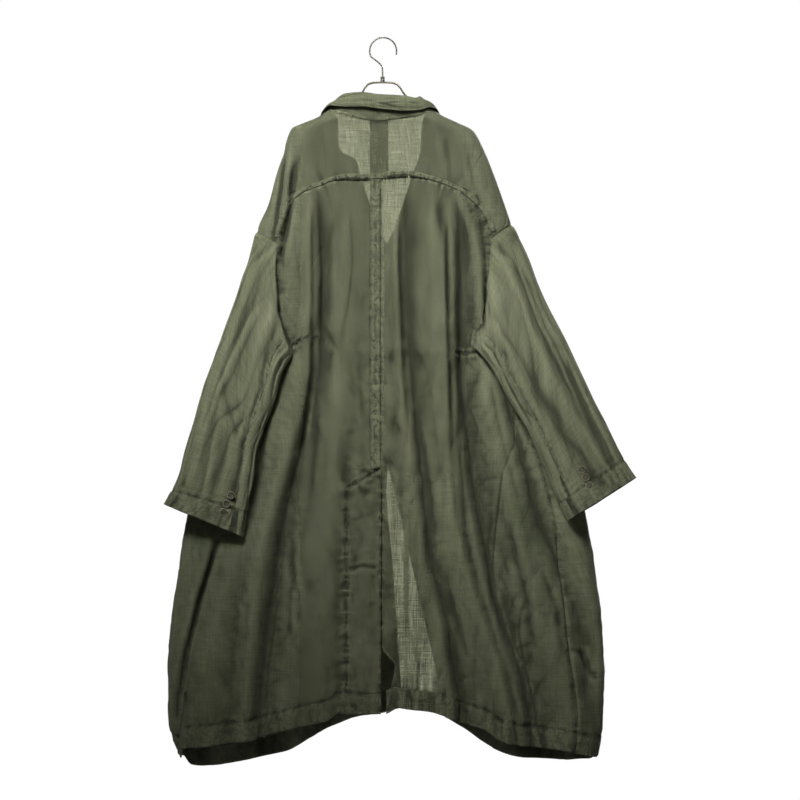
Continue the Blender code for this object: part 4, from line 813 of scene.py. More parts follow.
    def surface(self, s: Array, z: Array, sink: Array = 0.0) -> tuple[Array, Array]:
        """Return points and outward directions of the finished cloth.

        Args:
            s: Girth coordinates.
            z: Heights in metres.
            sink: How far the cloth lies inside the tube, where it laps under another piece.

        Returns:
            The points, and the directions outwards.
        """
        bare, normal = self.bare(s, z), self.normal(s, z)
        lift = self.relief(s, z, bare) - sink
        return bare + normal * lift[..., None], normal


# Making meshes


def linked(name: str, data: bpy.types.ID) -> Piece:
    """Make an object of a mesh, a light or a camera in the scene."""
    made = bpy.data.objects.new(name, data)
    bpy.context.scene.collection.objects.link(made)
    return made


def vertex_places(mesh: bpy.types.Mesh) -> Array:
    """Return the places of a mesh's points."""
    places = np.empty(len(mesh.vertices) * 3)
    mesh.vertices.foreach_get("co", places)
    return places.reshape(-1, 3)


def grid_area(points: Array) -> float:
    """Return the area of a grid of points."""
    a, b, c, d = points[:-1, :-1], points[:-1, 1:], points[1:, 1:], points[1:, :-1]
    return float(np.linalg.norm(np.cross(c - a, d - b), axis=-1).sum() / 2)


def relief_shade(points: Array, outward: Array) -> Array:
    """Find the painted shade in the hollows and the painted highlight on the ridges of a grid of cloth,
    partly also the garment dye's own darker hollows and paler ridges.

    Args:
        points: The cloth's points.
        outward: The directions outwards.

    Returns:
        0 in hollows, 1 on ridges and 0.5 where the cloth is flat.
    """
    shade = np.zeros(points.shape[:2])
    for reach, share, full in ((1, 0.5, 140), (3, 0.4, 50), (9, 0.6, 13)):
        for axis in (0, 1):
            if points.shape[axis] <= reach:
                continue
            pad = [(0, 0)] * 3
            pad[axis] = (reach, reach)
            wide = np.pad(points, pad, mode="reflect", reflect_type="odd")
            count = points.shape[axis]
            before, after = (wide.take(range(start, start + count), axis) for start in (0, 2 * reach))
            step = np.maximum(np.linalg.norm(after - before, axis=-1) / 2, 0.5 * MM)
            bend = (((before + after) / 2 - points) * outward).sum(axis=-1) * 2 / step**2
            shade -= share * np.tanh(bend / full)
    return np.clip(0.5 + 0.5 * shade, 0, 1)


def grid_mesh(name: str, points: Array, cut: Array, outward: Array,
              marks: Optional[dict[str, Array]] = None) -> Piece:
    """Make a mesh object from a grid of points, with its flat cut as its UV map.

    Args:
        name: The object's name.
        points: Rows by columns of places in metres.
        cut: The same grid on the flat cloth, in metres.
        outward: Directions that the faces look towards, one for each point.
        marks: Values from 0 to 1 at the points, by name, that the finish reads.

    Returns:
        The object, at the origin.
    """
    rows, columns = points.shape[:2]
    index = np.arange(rows * columns).reshape(rows, columns)
    quads = np.stack([index[:-1, :-1], index[:-1, 1:], index[1:, 1:], index[1:, :-1]], axis=-1)
    normal = np.cross(points[1:, 1:] - points[:-1, :-1], points[1:, :-1] - points[:-1, 1:])
    if (normal * outward[:-1, :-1]).sum() < 0:
        quads = quads[..., ::-1]
    corners = quads.reshape(-1)
    mesh = bpy.data.meshes.new(name)
    mesh.vertices.add(rows * columns)
    mesh.vertices.foreach_set("co", points.astype(np.float32).ravel())
    mesh.loops.add(len(corners))
    mesh.loops.foreach_set("vertex_index", corners.astype(np.int32))
    mesh.polygons.add(len(corners) // 4)
    mesh.polygons.foreach_set("loop_start", np.arange(0, len(corners), 4, dtype=np.int32))
    mesh.update(calc_edges=True)
    uv = mesh.uv_layers.new(name="cut")
    uv.data.foreach_set("uv", cut.reshape(-1, 2)[corners].astype(np.float32).ravel())
    x, z = points[..., 0], points[..., 2]
    sheer = (1 - ease((np.abs(x) - SHEER_REACH) / (0.2 * SHEER_REACH))) * (points[..., 1] < 0)
    edges = [smooth(z, *metres(edge[::-1]).T[::-1]) for edge in (FRONT_EDGE_LEFT, FRONT_EDGE_RIGHT)]
    lit = ease((x - edges[0]) / LIT_MARGIN + 1) * ease((edges[1] - x) / LIT_MARGIN + 1)
    # The shade mark is painted shade in hollows and painted highlight on ridges, partly the garment dye's own
    # tone.
    marks = (marks or {}) | {"shade": relief_shade(points, outward), "sheer": sheer, "lit": lit}
    for label, values in marks.items():
        values = np.broadcast_to(values, (rows, columns)).astype(np.float32).ravel()
        mesh.attributes.new(label, "FLOAT", "POINT").data.foreach_set("value", values)
    mesh.validate()
    mesh.shade_smooth()
    return linked(name, mesh)


def thicken(piece: Piece, thickness: float) -> None:
    """Give a sheet of cloth its thickness, inwards from its outer face."""
    wall = piece.modifiers.new("cloth", "SOLIDIFY")
    wall.thickness, wall.offset = thickness, -1


@dataclass(frozen=True)
class Role:
    """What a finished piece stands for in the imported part."""

    slot: str
    nodes: tuple[str, ...] = ()
    held: str = "hung"
    rests_on: tuple[str, ...] = ("back_yoke_cloth",)


def settle(piece: Piece, finish: Finish, role: Role) -> Piece:
    """Give a piece its finish, its body and the nodes that it replaces.

    Args:
        piece: The piece.
        finish: Its material.
        role: What it stands for.

    Returns:
        The piece.
    """
    piece.data.materials.clear()
    piece.data.materials.append(finish)
    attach(piece, "root")
    if role.nodes:
        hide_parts(*role.nodes)
    return piece


def cloth_sheet(name: str, points: Array, cut: Array, outward: Array, finish: Finish,
                role: Role, wear: Array = 0.0, thickness: float = CLOTH,
                with_pieces: Iterable[Piece] = (), dense: Array = 0.0,
                pucker: Array = 0.0) -> Piece:
    """Args:
        name: The piece's name.
        points: Its outer points, rows by columns.
        cut: The same points on the flat cloth.
        outward: The directions outwards.
        finish: Its material.
        role: Its material slot, nodes and how it hangs.
        wear: How worn and pale the cloth is at each point.
        thickness: The shell's thickness in metres.
        with_pieces: Pieces that are sewn to this sheet; not used.
        dense: How much denser than elsewhere the cloth is at each point.
        pucker: How strongly stitching gathers the cloth at each point.

    Returns:
        The finished piece.
    """
    piece = grid_mesh(name, points, cut, outward, {"wear": wear, "dense": dense, "pucker": pucker})
    thicken(piece, thickness)
    settle(piece, finish, role)
    area = grid_area(points)
    width, length = np.ptp(cut[..., 0]), np.ptp(cut[..., 1])
    if area < 0.35 * width * length:
        width, length = (max(LEAST_CUT, np.linalg.norm(np.diff(points, axis=k), axis=-1).sum(axis=k).mean())
                         for k in (1, 0))
    elif area > width * length:
        width = area / length
    area = min(area, width * length)
    LOG.info("%s: cut %.0f x %.0f mm, %.3f m2", name, width * 1000, length * 1000, area)
    return piece


def edge_wear(points: Array, reach: float = 4 * MM) -> Array:
    """Return how worn the cloth is beside the edges of a grid of points, from 0 to 1."""
    ends = [np.minimum(way, way[-1] - way) for way in (walk(points), walk(points.swapaxes(0, 1)))]
    return np.exp(-np.minimum(ends[0], ends[1].T) / reach)


def band_mesh(name: str, points: Array, cut: Array, normal: Array, wear: Array, finish: Finish) -> Piece:
    """Make a strip of cloth that is turned up inside a sheet and belongs to it.

    Args:
        name: The strip's name.
        points: Its points, rows by columns.
        cut: The same points on the flat cloth.
        normal: The directions out of the garment.
        wear: How worn the cloth is.
        finish: Its material.

    Returns:
        The strip.
    """
    band = grid_mesh(name, points, cut, -normal, {"wear": wear})
    thicken(band, BAND_CLOTH)
    return settle(band, finish, Role("linen_inside"))


# Body panels


@dataclass
class SeamLines:
    """The lines that neighbouring body panels share, as (s, z) places on the body's form."""

    form: BodyForm
    skirt_rows: int = 250
    armhole_rows: int = 78

    def side_left(self) -> Array:
        """Return the wearer's left side seam, from the hem up to the underarm."""
        heights = np.linspace(SIDE_HEM_LEFT, UNDERARM, self.skirt_rows + 1)
        rounding = smooth(heights, *metres(SIDE_SEAM_LEFT_ROUND[::-1]).T)
        line = joined(-1 - rounding / sum(self.form.half_girth(heights, False)), heights)
        line[0, 1] = self.form.hem_height(line[0, 0])
        return line

    def side_right(self) -> Array:
        """Return the wearer's right side seam, from the hem up to the underarm."""
        bottom = float(self.form.hem_height(self.form.place(*map(np.float64, SIDE_HEM_RIGHT))))
        heights = np.linspace(bottom, UNDERARM, self.skirt_rows + 1)
        side = resample(metres(SIDE_SEAM_RIGHT[::-1]), 60)
        return joined(self.form.place(np.interp(heights, side[:, 1], side[:, 0]), heights), heights)

    def centre(self) -> Array:
        """Return the centre back line, from the hem up to the yoke seam."""
        bottom = float(self.form.hem_height(self.form.place(CENTRE_SEAM_X, HEM_LEVEL)))
        upper = np.linspace(UNDERARM, CENTRE_SEAM_TOP, self.armhole_rows + 1)[1:]
        heights = np.concatenate([np.linspace(bottom, UNDERARM, self.skirt_rows + 1), upper])
        return joined(self.form.place(CENTRE_SEAM_X, heights), heights)

    def beside(self, line: Array, distance: float) -> Array:
        """Move a line on the back sideways over the cloth.

        Args:
            line: Its (s, z) places.
            distance: How far, in metres: upwards for a line that runs right.

        Returns:
            The moved places.
        """
        half = sum(self.form.half_girth(line[:, 1], True))
        tangent = unit(np.gradient(joined(line[:, 0] * half, line[:, 1]), axis=0))
        return line + joined(-tangent[:, 1] / half, tangent[:, 0]) * distance

    def hem(self, start: float, end: float, columns: int) -> Array:
        """Return the hem's edge between two girth coordinates."""
        s = np.linspace(start, end, columns + 1)
        return joined(s, self.form.hem_height(s))

    def shoulder(self, side: Side, turn_rows: int, ridge_rows: int) -> Array:
        """Follow the yoke's end on one side, round the armhole and then up the shoulder's ridge.

        Args:
            side: The wearer's side.
            turn_rows: The number of steps round the armhole.
            ridge_rows: The number of steps up the ridge.

        Returns:
            The end's (s, z) places.
        """
        turn = side.pick(SHOULDER_TURN_LEFT, SHOULDER_TURN_RIGHT)
        around = self.form.seam(turn, turn_rows)
        around[-1, 0] = side.sign
        rows = np.linspace(turn[-1][1], SECTIONS[0][0], 40) * MM
        ridge = resample(joined(side.pick(*self.form.section(rows)[:2]), rows), ridge_rows)
        return np.concatenate([around, joined(side.sign, ridge[1:, 1])])


@dataclass
class Stitching:
    """Topstitches gathered into one piece for each part of the coat."""

    finish: Finish
    pitch: float = 4.6 * MM
    length: float = 3.1 * MM
    width: float = 0.85 * MM
    points: list[Array] = field(default_factory=list)
    faces: list[Array] = field(default_factory=list)

    def run(self, line: Array, outward: Array) -> None:
        """Sew a row of stitches along a line of points.

        Args:
            line: Points on the cloth in order.
            outward: The cloth's outward direction at each point.
        """
        along = walk(line)
        at = np.arange(self.pitch / 2, along[-1] - self.pitch / 2, self.pitch)
        if not len(at):
            return
        places, ahead, up = (joined(*(np.interp(where, along, column) for column in rows.T))
                             for where, rows in ((at, line), (at + self.length / 2, line), (at, outward)))
        up, forward = unit(up), unit(ahead - places)
        across, base = np.cross(forward, up), places + up * 0.22 * MM
        corners = np.stack([
            base - forward * self.length / 2, base + forward * self.length / 2,
            base - across * self.width / 2, base + across * self.width / 2,
            base - up * self.width * 0.4, base + up * self.width * 0.5,
        ], axis=1)
        ends = np.array([(0, 5, 2), (0, 2, 4), (0, 4, 3), (0, 3, 5),
                         (1, 2, 5), (1, 4, 2), (1, 3, 4), (1, 5, 3)])
        start = sum(len(block) for block in self.points)
        self.points.append(corners.reshape(-1, 3))
        self.faces.append((ends[None] + start + 6 * np.arange(len(at))[:, None, None]).reshape(-1, 3))

    def piece(self, name: str) -> Piece:
        """Join the rows sewn so far into one piece and start afresh.

        Args:
            name: The piece's name.

        Returns:
            The piece.
        """
        mesh = bpy.data.meshes.new(name)
        mesh.from_pydata(np.concatenate(self.points).tolist(), [], np.concatenate(self.faces).tolist())
        mesh.validate()
        self.points, self.faces = [], []
        return settle(linked(name, mesh), self.finish, Role("linen"))


@dataclass
class CoatPart:
    """A part of the coat with what it is made from: its seam lines, its cloth and its stitches."""

    lines: SeamLines
    linen: Finish
    inside: Finish
    stitching: Stitching

    @property
    def form(self) -> BodyForm:
        """Return the form of the coat's body."""
        return self.lines.form

    def sew(self, s: Array, z: Array, sink: Array = 0.0) -> None:
        """Sew one row of stitches along places on the cloth."""
        self.stitching.run(*self.form.surface(s, z, sink))

    def sew_hem(self, bottom: Array, sink: Array = 0.0) -> None:
        """Sew the row that holds the turned hem."""
        s, z = bottom[1:-1].T
        self.sew(s, z + HEM_ROW, np.broadcast_to(sink, len(bottom))[1:-1])

    def hem_turn(self, name: str, grid: Array, sink: Array) -> Piece:
        """Make the turned-up hem inside a body panel.

        Args:
            name: The panel's CAD node.
            grid: The panel's (s, z) places, rows rising from the hem.
            sink: How far each place lies inside the body's form.

        Returns:
            The band, which goes with its panel.
        """
        rise = np.linspace(0.6 * MM, HEM_DEPTH, 12)[:, None]
        s, sink = (np.repeat(row[None], len(rise), axis=0) for row in (grid[0, :, 0], sink[0]))
        z = self.form.hem_height(s) + rise
        points, normal = self.form.surface(s, z, sink)
        fold = 1.5 * MM + 0.9 * MM * np.sin(np.pi * rise / HEM_DEPTH) ** 0.5
        points = points - normal * fold[..., None]
        return band_mesh(name + "_hem_turn", points, self.form.flat(s, z), normal,
                         edge_wear(points, 3 * MM), self.inside)

    def panel_sheet(self, name: str, grid: Array, sink: Array, pieces: Sequence[Piece],
                    on_front: bool = False, dense: Array = 0.0) -> None:
        """Make a body panel as a shell of cloth that is worn along its edges and its hem.

        Args:
            name: The CAD node that it replaces.
            grid: Its (s, z) places, rows rising from the hem.
            sink: How far each place lies inside the body's form.
            pieces: Its rows of stitches and its turned hem.
            on_front: Whether it is a front.
            dense: How much denser than elsewhere the cloth is at each place.
        """
        form, s, z = self.form, grid[..., 0], grid[..., 1]
        points, normal = form.surface(s, z, sink)
        wear = np.maximum(edge_wear(points), 0.2 * bell((z - form.hem_height(s) - HEM_DEPTH) / (3 * MM)))
        cloth_sheet(name + "_cloth", points, form.flat(s, z, on_front), normal, self.linen,
                    Role("linen", (name,)), wear, with_pieces=pieces, dense=dense,
                    pucker=form.gathered(s, z))


@dataclass
class BackPanels(CoatPart):
    """Both back panels with the centre seam's band, the vent's facing and its underlap."""

    columns: int = 116
    facing_width: float = 70 * MM

    def left(self) -> None:
        """Make the wearer's left back panel, whose edge is the vent's flap."""
        lines, form, centre = self.lines, self.form, self.lines.centre()
        edge = np.concatenate([lines.side_left(), form.seam(ARMHOLE_BACK_LEFT, lines.armhole_rows)[1:]])
        bottom = lines.hem(edge[0, 0], centre[0, 0], self.columns)
        top = form.seam(YOKE_SEAM_LEFT, self.columns)
        edge[-1], centre[-1] = top[0], top[-1]
        grid = coons(edge, centre, bottom, top)
        self.sew_hem(bottom)
        rows = np.linspace(VENT_TOP - 42 * MM, centre[0, 1] + 4 * MM, 160)
        for x in (FACING_X, FACING_X + 3 * MM):
            self.sew(form.place(x, rows), rows)
        x, rows = resample(metres(VENT_SLOPE), 60).T
        for drop in (0, 5 * MM):
            self.sew(form.place(x, rows - drop), rows - drop)
        sink = np.zeros(grid.shape[:2])
        pieces = [self.stitching.piece("stitches_back_left"), self.hem_turn("back_left", grid, sink)]
        self.panel_sheet("back_left", grid, sink, pieces)

    def right(self) -> None:
        """Make the wearer's right back panel, which lies under the flap below the vent's top."""
        lines, form, centre = self.lines, self.form, self.lines.centre()
        edge = np.concatenate([lines.side_right(), form.seam(ARMHOLE_BACK_RIGHT, lines.armhole_rows)[1:]])
        bottom = lines.hem(centre[0, 0], edge[0, 0], self.columns + 12)
        top = form.seam(YOKE_SEAM_RIGHT, self.columns + 12)
        edge[-1], centre[-1] = top[-1], top[0]
        grid = coons(centre, edge, bottom, top)
        x, z = form.bare(grid[..., 0], grid[..., 1])[..., 0], grid[..., 1]
        aside = 1 - ease((x - CENTRE_SEAM_X) / CORNER_REACH)
        grid[..., 0] += smooth(z, *metres(CORNER_PULL[::-1]).T) * aside / sum(form.half_girth(z, True))
        sink = UNDERLAP_DEPTH * ease((VENT_TOP - z) / LAP_FADE) * (1 - ease((x - CENTRE_SEAM_X) / LAP_FADE))
        self.sew_hem(bottom, sink[0])
        side = resample(metres(SIDE_SEAM_RIGHT[::-1]), 220)
        self.sew(form.place(side[:, 0] - 6 * MM, side[:, 1]), side[:, 1])
        thick = 0.8 * ease((x - 6 * MM) / (20 * MM)) * ease((VENT_TOP - z) / 0.05) * (
            0.75 + 0.6 * noise(x / 0.009, z / 0.25, 64)) * ease((0.15 - x) / 0.02)
        pieces = [self.stitching.piece("stitches_back_right"), self.hem_turn("back_right", grid, sink)]
        self.panel_sheet("back_right", grid, sink, pieces, dense=thick)

    def centre_seam(self) -> None:
        """Make the raised felled band down the centre back and its two rows of stitches."""
        form = self.form
        heights = np.linspace(VENT_TOP - 2 * MM, CENTRE_SEAM_TOP - 1 * MM, 300)[:, None]
        share = np.linspace(0, 1, 15)[None]
        s = form.place(CENTRE_SEAM_X, heights) - share * CENTRE_BAND / sum(form.half_girth(heights, True))
        s, z = np.broadcast_arrays(s, heights)
        points, normal = form.surface(s, z)
        swell = 0.35 + 1.1 * np.minimum(1, np.minimum(share, 1 - share) * 6) ** 0.6
        swell = swell - 0.6 * bell((share - 0.1) / 0.05) - 0.6 * bell((share - 0.9) / 0.05)
        swell = swell + 0.5 * noise(z / 0.011, share * 1.5, 901)
        points = points + normal * (np.maximum(swell, 0.3) * MM)[..., None]
        for column in (1, 13):
            self.stitching.run(points[:, column], normal[:, column])
        cloth_sheet("centre_back_seam_band", points, form.flat(s, z), normal, self.linen,
                    Role("linen", ("centre_back_seam",), "stretched", ("back_left_cloth",)),
                    0.4 + 0.6 * edge_wear(points, 2 * MM), BAND_CLOTH,
                    [self.stitching.piece("stitches_centre_back")], pucker=0.8)

    def vent_strip(self, name: str, below: float, across: Array, rests_on: str) -> None:
        """Make the facing behind the flap, or the strip that continues the right panel behind it.

        Args:
            name: The CAD node that it replaces.
            below: How far below the vent's top it starts.
            across: Its columns, from its inner edge to the centre line.
            rests_on: The piece that it lies on.
        """
        form, centre = self.form, self.lines.centre()
        facing = name == "vent_facing"
        centre = centre[centre[:, 1] < VENT_TOP - below]
        s = centre[:, :1] + across[None] / sum(form.half_girth(centre[:, 1:], True))
        z = np.repeat(centre[:, 1:], len(across), axis=1) + (0 if facing else 3 * MM)
        if facing:
            z = np.minimum(z, (VENT_TOP - 4 * MM + 0.6 * across)[None])
            z[0] = form.hem_height(s[0]) + 2 * MM
        points, normal = form.surface(s, z, 0.0 if facing else UNDERLAP_DEPTH)
        points = points - normal * (INNER_GAP if facing else 0.0)
        cloth_sheet(name + "_cloth", points, form.flat(s, z), normal, self.inside,
                    Role("linen_inside", (name,), rests_on=(rests_on,)), edge_wear(points), STRIP_CLOTH)

    def build(self) -> None:
        """Make both panels, the band and the vent's two strips."""
        self.left()
        self.right()
        self.centre_seam()
        across = np.linspace(-self.facing_width, -0.8 * MM, 22)
        self.vent_strip("vent_facing", 2 * MM, across, "back_left_cloth")
        across = np.linspace(-UNDERLAP_WIDTH, -0.3 * MM, 19)
        self.vent_strip("vent_underlap", 0.0, across, "back_right_cloth")


@dataclass
class Yoke(CoatPart):
    """The back yoke with its felled seam band and the plain strip inside it."""

    rows: int = 88
    columns: int = 190

    def seam_line(self) -> Array:
        """Return the arched yoke seam from one armhole to the other."""
        seams = YOKE_SEAM_LEFT, YOKE_SEAM_RIGHT
        left, right = (self.form.seam(seam, self.columns // 2) for seam in seams)
        return np.concatenate([left, right[1:]])

    def panel(self) -> None:
        """Make the yoke's panel and the stitches round its armholes."""
        form, bottom, turn = self.form, self.seam_line(), self.rows // 4
        left, right = (self.lines.shoulder(side, turn, self.rows - turn) for side in Side)
        top = form.seam(NECK_SEAM, len(bottom) - 1)
        left[0], left[-1], right[0], right[-1] = bottom[0], top[0], bottom[-1], top[-1]
        grid = coons(left, right, bottom, top)
        s, z = grid[..., 0], grid[..., 1]
        points, normal = form.surface(s, z)
        for column in (3, -4):
            self.stitching.run(points[2:, column], normal[2:, column])
        cloth_sheet("back_yoke_cloth", points, form.flat(s, z), normal, self.linen,
                    Role("linen", ("back_yoke",), rests_on=("hanger_frame",)), edge_wear(points),
                    with_pieces=[self.stitching.piece("stitches_yoke_ends")], pucker=form.gathered(s, z))

    def seam(self) -> None:
        """Make the raised band of the yoke seam and its two rows of stitches."""
        form, line = self.form, resample(self.seam_line(), 360)[3:-3]
        share = np.linspace(0, 1, 13)[:, None]
        grid = np.stack([self.lines.beside(line, 0.3 * MM + t * (YOKE_BAND - 0.3 * MM)) for t in share[:, 0]])
        s, z = grid[..., 0], grid[..., 1]
        points, normal = form.surface(s, z)
        swell = 0.4 + 1.0 * np.minimum(1, np.minimum(share, 1 - share) * 5) ** 0.6
        swell = swell + 0.55 * noise(np.linspace(0, 80, s.shape[1])[None], share * 1.5, 911)
        points = points + normal * (np.maximum(swell, 0.3) * MM)[..., None]
        for row in (2, 10):
            self.stitching.run(points[row], normal[row])
        cloth_sheet("yoke_seam_band", points, form.flat(s, z), normal, self.linen,
                    Role("linen", ("yoke_seam",), "stretched"), 0.4 + 0.6 * edge_wear(points, 1.5 * MM),
                    BAND_CLOTH, [self.stitching.piece("stitches_yoke_seam")], pucker=0.8)

    def strip(self) -> None:
        """Make the plain strip that shows dark through the sheer yoke."""
        form = self.form
        x, z = np.meshgrid(np.linspace(-24 * MM, 11 * MM, 14), np.linspace(-0.269, -0.157, 40))
        s = form.place(x, z)
        points, normal = form.surface(s, z)
        points = points - normal * INNER_GAP
        cloth_sheet("yoke_strip_cloth", points, form.flat(s, z), normal, self.inside,
                    Role("linen_inside", ("yoke_strip",)), edge_wear(points), STRIP_CLOTH)

    def build(self) -> None:
        """Make the panel, its seam's band and the strip."""
        self.panel()
        self.seam()
        self.strip()


@dataclass
class Front(CoatPart):
    """One front panel with its lapel, its turned hem and its stitches."""

    side: Side
    columns: int = 48

    @property
    def edge(self) -> Array:
        """Return the front's inner edge as rising rows of height and x, in metres."""
        return metres(self.side.pick(FRONT_EDGE_LEFT, FRONT_EDGE_RIGHT)[::-1])[:, ::-1]

    def grid(self) -> tuple[Array, Array]:
        """Return the front's (s, z) places and how deep each lies under the other front."""
        lines, form, edge, side = self.lines, self.form, self.edge, self.side
        hole = form.seam(side.pick(ARMHOLE_FRONT_LEFT, ARMHOLE_FRONT_RIGHT), lines.armhole_rows, side.front)
        hole[-1, 0] = hole[0, 0] = side.sign
        outer = np.concatenate([side.pick(lines.side_left, lines.side_right)(), hole[1:]])
        start = form.place(edge[0, 1], edge[0, 0], side.front)
        heights = np.concatenate([
            np.linspace(float(form.hem_height(start)), UNDERARM, lines.skirt_rows + 1),
            np.linspace(UNDERARM, NECK_POINT, lines.armhole_rows + 1)[1:]])
        inner = joined(form.place(smooth(heights, *edge.T), heights, side.front), heights)
        inner[-1, 0] = side.sign
        bottom = lines.hem(outer[0, 0], inner[0, 0], self.columns)
        top = resample(lines.shoulder(side, 8, 60)[8:], self.columns)
        top[:, 0] = side.sign
        bottom[0], bottom[-1], top[0], top[-1] = outer[0], inner[0], outer[-1], inner[-1]
        grid = coons(outer, inner, bottom, top)
        x = form.bare(grid[..., 0], grid[..., 1])[..., 0]
        sink = side.pick(0.0, OVERLAP_DEPTH) * ease((OVERLAP_TOP - grid[..., 1]) / LAP_FADE)
        return grid, sink * (1 - ease((x - OVERLAP_WIDTH) / LAP_FADE))

    def panel(self) -> None:
        """Make the front's panel, with the hem's turn inside it and the stitches down its edge."""
        name = f"front_{self.side.value}"
        grid, sink = self.grid()
        self.sew(*grid[4:, -2].T, sink[4:, -2])
        self.sew_hem(grid[0], sink[0])
        turned = self.hem_turn(name, grid, sink)
        self.panel_sheet(name, grid, sink, [self.stitching.piece("stitches_" + name), turned], True)

    def lapel(self) -> None:
        """Make the lapel, turned out over the front from its roll line."""
        form, side, share = self.form, self.side.value, np.linspace(0, 1, 26)[None]
        rows, width, stand = (column[:, None] for column in resample(metres(LAPEL), 60)[::-1].T)
        x = smooth(rows, *self.edge.T) + self.side.sign * (3.5 * MM + share * width)
        z = rows - share * 0.12 * width
        s = form.place(x, z, self.side.front)
        points, normal = form.surface(s, z)
        clear = stand * np.minimum(1, 0.25 + share * 2) + CLOTH + 0.3 * MM
        clear = clear + 0.9 * MM * layered(x / 0.05, z / 0.07, 931) * np.minimum(1, 4 * share)
        points = points + normal * np.maximum(clear, CLOTH + 0.2 * MM)[..., None]
        cloth_sheet(f"lapel_{side}_cloth", points, form.flat(s, z), normal, self.linen,
                    Role("linen", (f"lapel_{side}",), "folded", (f"front_{side}_cloth",)), edge_wear(points))

    def build(self) -> None:
        """Make the panel and its lapel."""
        self.panel()
        self.lapel()


# Sleeves


